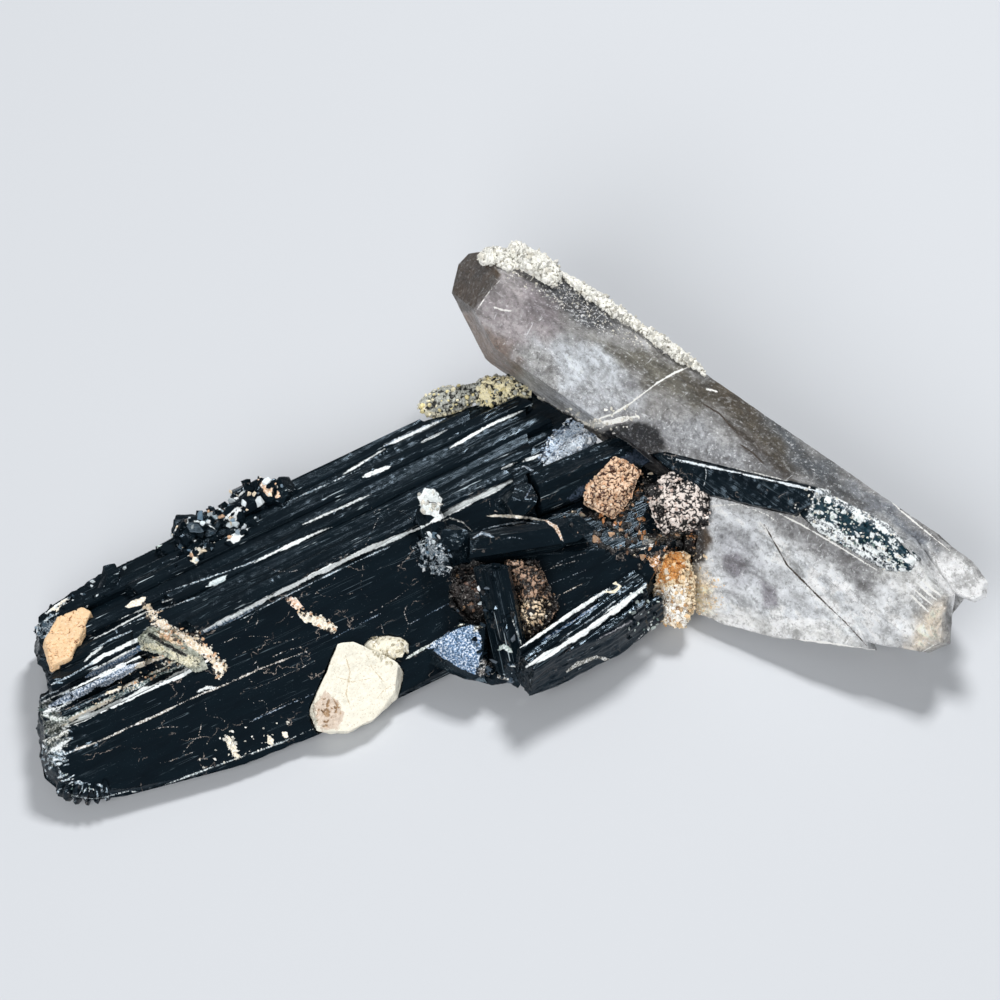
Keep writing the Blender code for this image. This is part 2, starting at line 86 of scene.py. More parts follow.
class Place:
    """A crystal's own frame: x along it, y to its left, z up. The centre is given as in the part's source."""

    def __init__(self, centre, azimuth=0.0, pitch=0.0, roll=0.0):
        turned = (
            Matrix.Rotation(math.radians(azimuth), 3, "Z")
            @ Matrix.Rotation(math.radians(-pitch), 3, "Y")
            @ Matrix.Rotation(math.radians(roll), 3, "X")
        )
        self.centre = np.array(centre, float) - MIDDLE
        self.axes = np.array(turned)

    def inside(self, points):
        return (points - self.centre) @ self.axes


BLADE = Place((-17.5, -19.5, 0.0), 31.0)
FRONT = Place((10.5, -30.7, 0.0), 41.0)
BACK_CRYSTAL = Place((12.9, -5.6, 12.6), 25.0, 5.0)
POINT = Place((21.25, 1.0, 14.9), 143.0, 9.5)
POINT_FACE = Place((21.25, 1.0, 14.9), 143.0, 9.5, -50.0)

# The small crystals grown on the blade: place, radius and half length.
SMALL = (
    (Place((4.0, -17.4, 12.4), 12.0), 1.85, 8.0),
    (Place((-6.2, -18.6, 12.4), -60.0, 35.0), 2.3, 2.6),
    (Place((-8.6, -15.2, 13.8), 120.0, 40.0), 1.5, 2.2),
    (Place((3.2, -10.8, 12.2), 40.0, 20.0), 2.1, 2.6),
    (Place((0.6, -28.4, 8.2), -72.0, -47.0), 2.1, 7.6),
    (Place((-37.6, -14.6, 11.3), -8.0, 6.0), 1.3, 2.6),
)


# Noise

HASH = (374761393, 668265263, 2246822519, 3266489917)
HASH_MASK = 0xFFFFFFFF
HASH_SHARE = 0xFFFFFF


def scramble(cells, seed):
    """An even pseudo-random number from 0 to 1 for each whole-numbered cell."""
    n = cells[..., 0] * HASH[0] + cells[..., 1] * HASH[1] + cells[..., 2] * HASH[2]
    n = (n + seed * HASH[3]) & HASH_MASK
    n = ((n ^ (n >> 15)) * HASH[2]) & HASH_MASK
    n = ((n ^ (n >> 13)) * HASH[3]) & HASH_MASK
    return ((n ^ (n >> 16)) & HASH_SHARE) / HASH_SHARE


def smooth_noise(points, seed):
    base = np.floor(points).astype(np.int64)
    share = points - base
    share = share * share * (3 - 2 * share)
    sides = np.stack([1 - share, share])
    total = 0.0
    for i, j, k in np.ndindex(2, 2, 2):
        weight = sides[i, :, 0] * sides[j, :, 1] * sides[k, :, 2]
        total = total + weight * scramble(base + np.array((i, j, k)), seed)
    return total * 2 - 1


def cloud(points, size, seed=0, octaves=3, fall=0.5):
    """Noise from about -1 to 1 in patches of that size, which may differ along x, y and z."""
    total, strength, whole = 0.0, 1.0, 0.0
    at = points / np.asarray(size, float)
    for octave in range(octaves):
        total = total + strength * smooth_noise(at, seed + 17 * octave)
        whole += strength
        strength *= fall
        at = at * 2.03
    return total / whole * 1.6


def grains(points, size, seed=0):
    """Each point's distance to the nearest grain's middle and to the next one's, and the nearest grain's number."""
    at = points / np.asarray(size, float)
    base = np.floor(at).astype(np.int64)
    first = np.full(len(at), 9.0)
    second = np.full(len(at), 9.0)
    number = np.zeros(len(at))
    for step in np.ndindex(3, 3, 3):
        cell = base + np.array(step) - 1
        middle = cell + np.stack([scramble(cell, seed + k) for k in range(3)], axis=1)
        gap = np.linalg.norm(at - middle, axis=1)
        nearer = gap < first
        second = np.where(nearer, first, np.minimum(second, gap))
        number = np.where(nearer, scramble(cell, seed + 5), number)
        first = np.where(nearer, gap, first)
    return first, second, number


def ease(value, low, high):
    """0 below low, 1 above high, smooth between them."""
    share = np.clip((value - low) / (high - low), 0, 1)
    return share * share * (3 - 2 * share)


# Meshes as arrays

# Lengths in mm: edges this short aren't split, and two triangles this nearly level count as flat.
FINEST = 0.1
FLAT = 0.004
SWAP_ROUNDS = 14
TINY = 1e-12


def node_shell(name):
    """A solid's points (mm) and triangles, with the doubled corners merged."""
    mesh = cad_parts[name].data
    flat = np.empty(len(mesh.vertices) * 3)
    mesh.vertices.foreach_get("co", flat)
    mesh.calc_loop_triangles()
    ring = np.empty(len(mesh.loop_triangles) * 3, np.int32)
    mesh.loop_triangles.foreach_get("vertices", ring)
    points, index = np.unique(np.round(flat.reshape(-1, 3) / MM, 4), axis=0, return_inverse=True)
    tris = index.reshape(-1)[ring].reshape(-1, 3)
    whole = (tris[:, 0] != tris[:, 1]) & (tris[:, 1] != tris[:, 2]) & (tris[:, 2] != tris[:, 0])
    return points, tris[whole]


def face_normals(points, tris):
    a, b, c = points[tris[:, 0]], points[tris[:, 1]], points[tris[:, 2]]
    return np.cross(b - a, c - a)


def point_normals(points, tris):
    across = face_normals(points, tris)
    total = np.stack([
        np.bincount(tris.ravel(), np.repeat(across[:, k], 3), len(points)) for k in range(3)
    ], axis=1)
    return total / np.maximum(np.linalg.norm(total, axis=1, keepdims=True), TINY)


def refine(points, tris, wanted, weight=None, rounds=36):
    """Splits edges until none is longer than wanted(middle, normal) says, keeping the surface closed.

    In each round a triangle has only its worst edge split, so that long thin triangles don't multiply.
    """
    done = []
    for number in range(rounds):
        if number < SWAP_ROUNDS:
            tris = swap_diagonals(points, tris)
        count = len(points)
        pairs = np.sort(np.concatenate([tris[:, [0, 1]], tris[:, [1, 2]], tris[:, [2, 0]]]), axis=1)
        edges, index, shared = np.unique(pairs[:, 0] * count + pairs[:, 1], return_inverse=True, return_counts=True)
        index = index.reshape(-1)
        a, b = edges // count, edges % count
        across = face_normals(points, tris)
        across = np.tile(across / np.maximum(np.linalg.norm(across, axis=1, keepdims=True), TINY), (3, 1))
        normal = np.stack([np.bincount(index, across[:, k], len(edges)) for k in range(3)], axis=1) / 2
        middle = (points[a] + points[b]) / 2
        length = np.linalg.norm(points[a] - points[b], axis=1)
        if weight:
            length = length * weight(points[a], points[b])
        # An edge met once borders a triangle that is done, so it stays whole.
        excess = np.where((shared == 2) & (length > FINEST), length / wanted(middle, normal), 0.0)
        edge_of = index.reshape(3, -1).T
        worst = edge_of[np.arange(len(tris)), np.argmax(excess[edge_of], axis=1)]
        split = np.zeros(len(edges), bool)
        split[worst] = True
        split &= excess > 1
        new = np.full(len(edges), -1)
        new[split] = count + np.arange(split.sum())
        points = np.concatenate([points, middle[split]])
        marks = new[index].reshape(3, -1).T
        touched = (marks >= 0).any(axis=1)
        done.append(tris[~touched])
        tris = split_triangles(points, tris[touched], marks[touched])
    return points, np.concatenate(done + [tris])


def swap_diagonals(points, tris, passes=6):
    """Swaps the shared edge of flat pairs of triangles where the other diagonal gives better shapes."""
    for _ in range(passes):
        count, many = len(points), len(tris)
        starts, ends = tris.T.ravel(), np.roll(tris, -1, axis=1).T.ravel()
        keys = np.minimum(starts, ends) * count + np.maximum(starts, ends)
        order = np.argsort(keys, kind="stable")
        known, first, shared = np.unique(keys[order], return_index=True, return_counts=True)
        one, other = order[first[shared == 2]], order[first[shared == 2] + 1]
        mine, yours = one % many, other % many
        a, b = starts[one], ends[one]
        c, d = tris[mine, (one // many + 2) % 3], tris[yours, (other // many + 2) % 3]
        corner = [points[k] for k in (a, b, c, d)]
        normals = [np.cross(corner[1] - corner[0], corner[2] - corner[0]),
                   np.cross(corner[0] - corner[1], corner[3] - corner[1])]
        sizes = [np.linalg.norm(normal, axis=1) for normal in normals]
        up = np.where((sizes[0] > sizes[1])[:, None], *normals) / np.maximum(np.maximum(*sizes), TINY)[:, None]
        step = np.abs(np.einsum("ij,ij->i", corner[3] - corner[2], up))
        worse = 0.0
        for tip in corner[2:]:
            p, q = corner[0] - tip, corner[1] - tip
            worse = worse + np.arctan2(np.linalg.norm(np.cross(p, q), axis=1), np.einsum("ij,ij->i", p, q))
        swaps = (worse > math.pi + 0.01) & (step < FLAT)
        swaps &= ~np.isin(np.minimum(c, d) * count + np.maximum(c, d), known)
        for p, q, r in ((0, 3, 2), (3, 1, 2)):
            across = np.cross(corner[q] - corner[p], corner[r] - corner[p])
            swaps &= np.einsum("ij,ij->i", across, up) > 1e-7
        rank = np.where(swaps, worse + 1e-6 * np.arange(len(worse)) / len(worse), 0.0)
        best = np.zeros(many)
        np.maximum.at(best, mine, rank)
        np.maximum.at(best, yours, rank)
        swaps &= (rank == best[mine]) & (rank == best[yours])
        if not swaps.any():
            break
        tris = tris.copy()
        tris[mine[swaps]] = np.stack([a, d, c], axis=1)[swaps]
        tris[yours[swaps]] = np.stack([d, b, c], axis=1)[swaps]
    return tris


def split_triangles(points, tris, marks):
    """marks holds, for each triangle's edges 01, 12 and 20, the new point on it or -1."""
    number = (marks >= 0).sum(axis=1)
    made = [tris[number == 0]]
    one = number == 1
    turn = np.argmax(marks[one] >= 0, axis=1)
    t, m = turned(tris[one], turn), turned(marks[one], turn)
    made += [np.stack([t[:, 0], m[:, 0], t[:, 2]], 1), np.stack([m[:, 0], t[:, 1], t[:, 2]], 1)]
    two = number == 2
    turn = (np.argmax(marks[two] < 0, axis=1) + 1) % 3
    t, m = turned(tris[two], turn), turned(marks[two], turn)
    made.append(np.stack([m[:, 0], t[:, 1], m[:, 1]], 1))
    near = np.linalg.norm(points[t[:, 0]] - points[m[:, 1]], axis=1)
    far = np.linalg.norm(points[m[:, 0]] - points[t[:, 2]], axis=1)
    short = (near < far)[:, None]
    made.append(np.where(short, np.stack([t[:, 0], m[:, 0], m[:, 1]], 1), np.stack([t[:, 0], m[:, 0], t[:, 2]], 1)))
    made.append(np.where(short, np.stack([t[:, 0], m[:, 1], t[:, 2]], 1), np.stack([m[:, 0], m[:, 1], t[:, 2]], 1)))
    t, m = tris[number == 3], marks[number == 3]
    made.append(m)
    for k in range(3):
        made.append(np.stack([t[:, k], m[:, k], m[:, k - 1]], 1))
    return np.concatenate(made)


def turned(rows, turn):
    """Each row rolled so that its entry number turn comes first."""
    order = (np.arange(3)[None, :] + turn[:, None]) % 3
    return np.take_along_axis(rows, order, axis=1)


# Marks read from the photograph's side: lines and patches given by a few points each

def gap_and_share(path, at):
    """Each point's distance to a line of several points, and how far along the line (0 to 1) it is nearest."""
    path = np.array(path, float)
    runs = np.diff(path, axis=0)
    lengths = np.maximum(np.hypot(*runs.T), 1e-6)
    before = np.cumsum(lengths) - lengths
    gap, share = np.full(len(at), 1e9), np.zeros(len(at))
    for start, run, length, passed in zip(path[:-1], runs, lengths, before):
        along = np.clip((at - start) @ run / length ** 2, 0, 1)
        found = np.hypot(*(at - start - along[:, None] * run).T)
        share = np.where(found < gap, (passed + along * length) / lengths.sum(), share)
        gap = np.minimum(gap, found)
    return gap, share


def gap_to(path, at):
    return gap_and_share(path, at)[0]


def within(outline, at):
    """Whether each point of at lies inside the outline."""
    outline = np.array(outline, float)
    odd = np.zeros(len(at), bool)
    for (x0, y0), (x1, y1) in zip(outline, np.roll(outline, -1, axis=0)):
        if y0 == y1:
            continue
        crosses = (at[:, 1] < y0) != (at[:, 1] < y1)
        odd ^= crosses & (at[:, 0] < (x1 - x0) * (at[:, 1] - y0) / (y1 - y0) + x0)
    return odd


def ring(outline):
    return list(outline) + [outline[0]]


class Nearness:
    def __init__(self, paths, reach):
        side = int(FRAME_SIDE)
        self.gaps = np.full((side, side), float(reach))
        for path in paths:
            for start, end in zip(np.array(path[:-1], float), np.array(path[1:], float)):
                low = np.maximum(np.minimum(start, end) - reach, 0).astype(int)
                high = np.minimum(np.maximum(start, end) + reach + 1, side).astype(int)
                rows, columns = np.mgrid[low[1]:high[1], low[0]:high[0]]
                window = self.gaps[low[1]:high[1], low[0]:high[0]]
                found = gap_to((start, end), np.stack([columns.ravel(), rows.ravel()], axis=1))
                np.minimum(window, found.reshape(window.shape), out=window)

    def __call__(self, at):
        cell = np.clip(np.round(at).astype(int), 0, len(self.gaps) - 1)
        return self.gaps[cell[:, 1], cell[:, 0]]


LINE_FADE = 2.0


class Paint:
    """Colours laid on a piece's points from the photograph's side. The fourth value says how far they cover."""

    def __init__(self, points, normals, wander=1.0, least=0.02):
        self.points = points
        shift = np.stack([cloud(points, 1.1, seed, 2) for seed in (71, 72)], axis=1)
        self.plain = pixels(points)
        self.at = self.plain + wander * shift
        self.seen = ease(normals @ BACK, least, least + 0.23)
        self.rgba = np.zeros((len(points), 4))
        shown = np.nonzero(self.seen > 0)[0]
        self.order = shown[np.argsort(self.at[shown, 0])]
        self.across = self.at[self.order, 0]

    def close_to(self, path, margin):
        """The seen points in the box round a path."""
        path = np.array(path, float)
        low, high = path.min(axis=0) - margin, path.max(axis=0) + margin
        start, end = np.searchsorted(self.across, (low[0], high[0]))
        which = self.order[start:end]
        return which[(self.at[which, 1] > low[1]) & (self.at[which, 1] < high[1])]

    def cover_of(self, outline, soft):
        """The points round an outline and how far it covers each. Its edge fades over soft pixels."""
        which = self.close_to(outline, soft)
        at = self.at[which]
        signed = np.where(within(outline, at), 1.0, -1.0) * gap_to(ring(outline), at)
        return which, ease(signed, -soft, soft) * self.seen[which]

    def line_cover(self, path, width):
        """The points along a line and how far it covers each, which is a half at that half width (pixels)."""
        which = self.close_to(path, 1.4 * width + LINE_FADE)
        gap, share = gap_and_share(path, self.plain[which])
        taper = ease(share, -0.04, 0.16) * ease(1 - share, -0.04, 0.16)
        width = width * (0.3 + 0.7 * taper) * (1 + 0.4 * cloud(self.points[which], 1.4, 75, 2))
        return which, np.clip(0.5 + 0.5 * (width - gap) / LINE_FADE, 0, 1) * self.seen[which]

    def lay(self, which, cover, colour):
        """Lays a colour. The shaders show it where the cover, roughened, passes a half."""
        share = ease(cover, 0.15, 0.5)[:, None]
        old = self.rgba[which]
        rgb = np.where(old[:, 3:] < 1e-4, colour, old[:, :3] * (1 - share) + np.asarray(colour) * share)
        self.rgba[which] = np.concatenate([rgb, np.maximum(old[:, 3:], cover[:, None])], axis=1)

    def tint(self, which, cover, colour):
        """Blends a colour in softly."""
        share = cover[:, None]
        self.rgba[which, :3] = self.rgba[which, :3] * (1 - share) + np.asarray(colour) * share

    def stroke(self, path, width, colour, strength=1.0):
        which, cover = self.line_cover(path, width)
        self.lay(which, cover, strength * np.asarray(colour))

    def patch(self, outline, colour, soft=3.0, strength=1.0):
        which, cover = self.cover_of(outline, soft)
        cover = cover * (1 + 0.5 * cloud(self.points[which], 0.5, 76, 3, 0.7))
        self.lay(which, np.clip(cover, 0, 1), strength * np.asarray(colour))


# Shader and geometry trees

class Wire:
    """A socket that takes part in sums."""

    def __init__(self, recipe, socket):
        self.recipe, self.socket = recipe, socket

    def math(self, operation, *others):
        return self.recipe.add("ShaderNodeMath", {"operation": operation}, *((self,) + others))

    def __add__(self, other):
        return self.math("ADD", other)

    __radd__ = __add__

    def __mul__(self, other):
        return self.math("MULTIPLY", other)

    __rmul__ = __mul__

    def __sub__(self, other):
        return self.math("SUBTRACT", other)

    def __rsub__(self, other):
        return self.recipe.add("ShaderNodeMath", {"operation": "SUBTRACT"}, other, self)

    def above(self, low, high):
        """0 below low, 1 above high, smooth between them."""
        return self.recipe.add(
            "ShaderNodeMapRange", {"interpolation_type": "SMOOTHSTEP"}, self, low, high, 0.0, 1.0
        )


class Recipe:
    """Adds nodes to a tree: first a node's settings, then what its sockets take, in order or by name."""

    def __init__(self, tree):
        self.tree = tree

    def add(self, kind, settings=None, *values, out=0, **named):
        node = self.tree.nodes.new(kind)
        for key, value in (settings or {}).items():
            setattr(node, key, value)
        sockets = [s for s in node.inputs if s.enabled]
        for socket, value in list(zip(sockets, values)):
            self.give(socket, value)
        for key, value in named.items():
            wanted = key.replace("_", " ").lower()
            self.give(next(s for s in node.inputs if s.name.lower() == wanted and s.enabled), value)
        outputs = [s for s in node.outputs if s.enabled]
        chosen = outputs[out] if isinstance(out, int) else next(s for s in outputs if s.name == out)
        return Wire(self, chosen)

    def give(self, socket, value):
        if value is None:
            return
        if isinstance(value, Wire):
            self.tree.links.new(value.socket, socket)
        elif isinstance(value, (tuple, list)) and len(value) == 3 and socket.type == "RGBA":
            socket.default_value = (*value, 1.0)
        else:
            socket.default_value = value

    def mix(self, factor, first, second):
        """The first colour at 0, the second at 1."""
        return self.add("ShaderNodeMix", {"data_type": "RGBA"}, factor, first, second)

    def attribute(self, name, out="Color"):
        return self.add("ShaderNodeAttribute", {"attribute_name": name}, out=out)

    def noise(self, vector, scale, detail=3.0, roughness=0.55, warp=0.0):
        return self.add("ShaderNodeTexNoise", None, Vector=vector, Scale=scale, Detail=detail, Roughness=roughness,
                        Distortion=warp)

    def stretched(self, vector, scale):
        return self.add("ShaderNodeMapping", {"vector_type": "POINT"}, Vector=vector, Scale=scale)


def blank_material(name):
    made = bpy.data.materials.new(name)
    made.use_nodes = True
    made.node_tree.nodes.clear()
    return made, Recipe(made.node_tree)


def close_material(recipe, surface, volume=None):
    output = recipe.tree.nodes.new("ShaderNodeOutputMaterial")
    recipe.tree.links.new(surface.socket, output.inputs["Surface"])
    if volume is not None:
        recipe.tree.links.new(volume.socket, output.inputs["Volume"])


def aegirine_finish(name, look):
    """Glossy black-green, finely grooved along the crystal, with pale streaks painted as highlights along the
    striations, hairlines and specks.
    """
    made, recipe = blank_material(name)
    lay = recipe.attribute("lay", "Vector")
    marks = recipe.attribute("marks")
    cover = recipe.attribute("marks", "Alpha")
    streaky = recipe.attribute("streaks", "Fac")
    grooves = recipe.noise(recipe.stretched(lay, (0.05, 2.6, 2.6)), 1.0, 3.0, 0.6)
    fine = recipe.noise(recipe.stretched(lay, (0.2, 7.0, 7.0)), 1.0, 2.0, 0.6)
    lines = recipe.noise(recipe.stretched(lay, (0.05, 4.2, 4.2)), 1.0, 2.0, 0.5)
    long_lines = recipe.noise(recipe.stretched(lay, (0.03, 2.2, 2.2)), 1.0, 1.0, 0.5)
    gate = recipe.noise(recipe.stretched(lay, (0.16, 0.6, 0.6)), 1.0, 3.0, 0.6)
    grit = recipe.noise(lay, 6.5, 2.0, 0.7)
    clumps = recipe.noise(lay, 1.8, 3.0, 0.7)
    tone = recipe.noise(recipe.stretched(lay, (0.2, 0.7, 0.7)), 1.0, 3.0)
    bent = recipe.add("ShaderNodeVectorMath", {"operation": "MULTIPLY_ADD"},
                      recipe.add("ShaderNodeTexNoise", None, Vector=lay, Scale=0.7, Detail=4.0, out="Color"),
                      (3.0, 3.0, 3.0), recipe.stretched(lay, (0.5, 1.0, 0.25)))
    cells = recipe.add("ShaderNodeTexVoronoi", {"feature": "DISTANCE_TO_EDGE"}, Vector=bent, Scale=0.2)
    hairs = (1.0 - cells.above(0.003, 0.012)) * gate.above(0.5, 0.6) * grit.above(0.4, 0.5) * (1.0 - streaky)
    threads = long_lines.above(0.612, 0.622) * (1.0 - long_lines.above(0.626, 0.636)) * gate.above(0.47, 0.55)
    # Painted highlights: pale streaks along the striations, where the streaks attribute allows, most of them on the
    # up-facing terraces.
    streaks = lines.above(0.655, 0.685) * gate.above(0.55, 0.61) * streaky
    specks = grit.above(0.68, 0.74) * tone.above(0.42, 0.6)
    shown = (cover * 0.86 + (grit - 0.5) * 0.5 + (clumps - 0.5) * 0.5).above(0.47, 0.56)
    body = recipe.mix(tone, look.black, look.green)
    body = recipe.mix(threads * 0.35, body, srgb(120, 138, 148))
    body = recipe.mix(streaks * 0.9, body, srgb(200, 214, 220))
    body = recipe.mix(hairs * 0.5, body, srgb(200, 186, 176))
    body = recipe.mix(specks * 0.45, body, srgb(120, 134, 144))
    shine = recipe.add("ShaderNodeRGBToBW", None, marks)
    light = shine.above(0.02, 0.3)
    dull = 1.0 - shine.above(0.42, 0.8)
    grain = recipe.noise(lay, 4.2, 2.0, 0.6)
    mottled = recipe.mix(clumps.above(0.34, 0.46) * 0.6 + 0.4, recipe.mix(0.5, marks, look.black), marks)
    mottled = recipe.mix((1.0 - grain.above(0.42, 0.5)) * (0.15 + 0.6 * dull), mottled, look.green)
    mottled = recipe.mix(grain.above(0.52, 0.6) * light * 0.75, mottled, srgb(250, 252, 253))
    body = recipe.mix(shown, body, mottled)
    height = grooves * 0.5 + fine * 0.22 + grit * (0.06 + 0.3 * shown)
    bump = recipe.add("ShaderNodeBump", None, Strength=0.35, Distance=0.0003, Height=height)
    rough = 0.1 + grooves * 0.14 + specks * 0.3 + shown * light * 0.34
    shader = recipe.add("ShaderNodeBsdfPrincipled", None, Base_Color=body, Roughness=rough, IOR=1.6,
                        Specular_IOR_Level=0.22, Specular_Tint=(0.62, 0.82, 1.0), Normal=bump)
    close_material(recipe, shader)
    return made


def quartz_finish(name, look):
    """Clear smoky crystal where it is clean and milky, veiled and scratched where it isn't."""
    made, recipe = blank_material(name)
    lay = recipe.attribute("lay", "Vector")
    marks = recipe.attribute("marks")
    milk = recipe.attribute("milk", "Fac")
    frost = recipe.attribute("frost", "Fac")
    bright = recipe.attribute("bright", "Fac")
    dark = recipe.attribute("dark", "Fac")
    haze = recipe.noise(recipe.stretched(lay, (0.3, 0.45, 0.45)), 1.0, 6.0, 0.7, 0.6)
    grain = recipe.noise(lay, 1.5, 6.0, 0.78, 0.3)
    wisp = recipe.noise(recipe.stretched(lay, (0.6, 1.4, 1.4)), 1.0, 5.0, 0.72, 1.2)
    spark = recipe.noise(lay, 3.0, 3.0, 0.75)
    dust = recipe.noise(lay, 4.4, 2.0, 0.7)
    across = recipe.noise(recipe.stretched(lay, (2.4, 0.35, 0.5)), 1.0, 4.0, 0.7, 0.8)
    along = recipe.noise(recipe.stretched(lay, (0.25, 2.4, 2.4)), 1.0, 4.0, 0.7, 0.4)
    scratches = across.above(0.645, 0.69) + along.above(0.66, 0.71) * 0.6
    sparks = spark.above(0.63 - 0.08 * frost, 0.7 - 0.08 * frost)
    roughened = (grain - 0.5) * 0.5 + (dust - 0.5) * 0.4
    veins_and_rim_highlights = (bright + roughened).above(0.5, 0.57)
    seam = (dark + roughened).above(0.5, 0.57)
    tint = recipe.mix((1.0 - haze.above(0.34, 0.54)) * 0.6, marks, recipe.mix(0.6, marks, look.shade))
    tint = recipe.mix((1.0 - grain.above(0.38, 0.5)) * 0.85, tint, recipe.mix(0.55, marks, look.shade))
    tint = recipe.mix(grain.above(0.52, 0.62) * (0.25 + 0.6 * frost), tint, recipe.mix(0.65, marks, look.frost))
    tint = recipe.mix((1.0 - dust.above(0.3, 0.37)) * 0.6, tint, recipe.mix(0.8, marks, look.shade))
    tint = recipe.mix(scratches * 0.6, tint, look.frost)
    # Painted highlights: white sparkle spots, more of them where the surface is frosted.
    tint = recipe.mix(sparks * (0.3 + 0.7 * frost), tint, srgb(252, 253, 255))
    # White veins, and painted highlights along the rims and growth edges.
    tint = recipe.mix(veins_and_rim_highlights, tint, srgb(252, 251, 247))
    tint = recipe.mix(seam, tint, srgb(62, 50, 40))
    cloudiness = milk * (0.8 + 0.3 * haze.above(0.3, 0.66)) + scratches * 0.4 + sparks * 0.6 + veins_and_rim_highlights + seam
    height = across * 0.4 + grain * 0.7 + wisp * 0.5 + spark * (0.2 + 0.7 * frost)
    bump = recipe.add("ShaderNodeBump", None, Strength=0.8, Distance=0.0004, Height=height)
    rough = 0.08 + 0.22 * wisp * milk
    clear = recipe.add("ShaderNodeBsdfPrincipled", None, Base_Color=look.clear, Roughness=rough, IOR=1.544,
                       Transmission_Weight=1.0, Normal=bump)
    cloudy = recipe.add("ShaderNodeBsdfPrincipled", None, Base_Color=tint, Roughness=0.2 + 0.25 * wisp, IOR=1.544,
                        Normal=bump)
    mixed = recipe.add("ShaderNodeMixShader", None, cloudiness.math("MINIMUM", 1.0), clear, cloudy)
    smoke = recipe.add("ShaderNodeVolumeAbsorption", None, Color=look.smoke, Density=look.smoke_density)
    close_material(recipe, mixed, smoke)
    return made


def crust_finish(name, light, dark, dimming=0.6, roughness=0.7, shine=0.3):
    """Grainy crust: light on the grains, dimmer in patches, dark in a fine speckle, and dark in the spots and painted
    shade that each piece marks between its grains.
    """
    made, recipe = blank_material(name)
    where = recipe.add("ShaderNodeTexCoord", None, out="Object")
    marks = recipe.attribute("marks")
    cover = recipe.attribute("marks", "Alpha")
    dark_spots_and_gap_shade = recipe.attribute("dark_spots_and_gap_shade", "Fac")
    mottle = recipe.noise(where, 900.0, 4.0, 0.65)
    grit = recipe.noise(where, 4200.0, 2.0, 0.7)
    shown = (cover + (grit - 0.5) * 0.4 + (mottle - 0.5) * 0.5).above(0.5, 0.6)
    body = recipe.mix(mottle.above(0.32, 0.66), tuple(dimming * c for c in light), light)
    body = recipe.mix(shown, body, marks)
    body = recipe.mix((1.0 - grit.above(0.3, 0.42)) * 0.5, body, dark)
    # Dark spots, and painted shade in the gaps between the grains.
    body = recipe.mix((dark_spots_and_gap_shade + (grit - 0.5) * 0.5).above(0.3, 0.62), body, dark)
    body = recipe.mix(grit.above(0.58, 0.7) * 0.45, body, srgb(255, 250, 242))
    bump = recipe.add("ShaderNodeBump", None, Strength=0.6, Distance=0.0002, Height=grit + mottle)
    shader = recipe.add("ShaderNodeBsdfPrincipled", None, Base_Color=body, Roughness=roughness - shine * grit,
                        IOR=1.52, Normal=bump)
    close_material(recipe, shader)
    return made


# Turning arrays into finished pieces

# The points and normals of the pieces made so far, for chips to sit on.
SURFACES = {}
CHIP_KINDS = 4
ATTRIBUTE_KINDS = {1: ("FLOAT", "value"), 3: ("FLOAT_VECTOR", "vector"), 4: ("FLOAT_COLOR", "color")}


def triangle_mesh(name, points, tris):
    mesh = bpy.data.meshes.new(name)
    mesh.vertices.add(len(points))
    mesh.vertices.foreach_set("co", np.ascontiguousarray(points * MM, np.float32).ravel())
    mesh.loops.add(len(tris) * 3)
    mesh.loops.foreach_set("vertex_index", np.ascontiguousarray(tris, np.int32).ravel())
    mesh.polygons.add(len(tris))
    mesh.polygons.foreach_set("loop_start", np.arange(0, len(tris) * 3, 3, dtype=np.int32))
    mesh.update(calc_edges=True)
    return mesh


def give_values(mesh, values):
    for key, data in values.items():
        kind, field = ATTRIBUTE_KINDS[1 if data.ndim == 1 else data.shape[1]]
        layer = mesh.attributes.new(key, kind, "POINT")
        layer.data.foreach_set(field, np.ascontiguousarray(data, np.float32).ravel())


def finish_piece(name, points, tris, material, nodes, values, crisp=32.0):
    """Makes the mesh, gives it its attributes and hangs it on the frame."""
    mesh = triangle_mesh(name, points, tris)
    give_values(mesh, values)
    mesh.materials.append(material)
    mesh.shade_smooth()
    mesh.set_sharp_from_angle(angle=math.radians(crisp))
    obj = bpy.data.objects.new(name, mesh)
    bpy.context.scene.collection.objects.link(obj)
    SURFACES[name] = (points, point_normals(points, tris))
    return hang(obj, nodes)


def hang(obj, nodes):
    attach(obj, "root")
    if nodes:
        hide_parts(*nodes)
    return obj


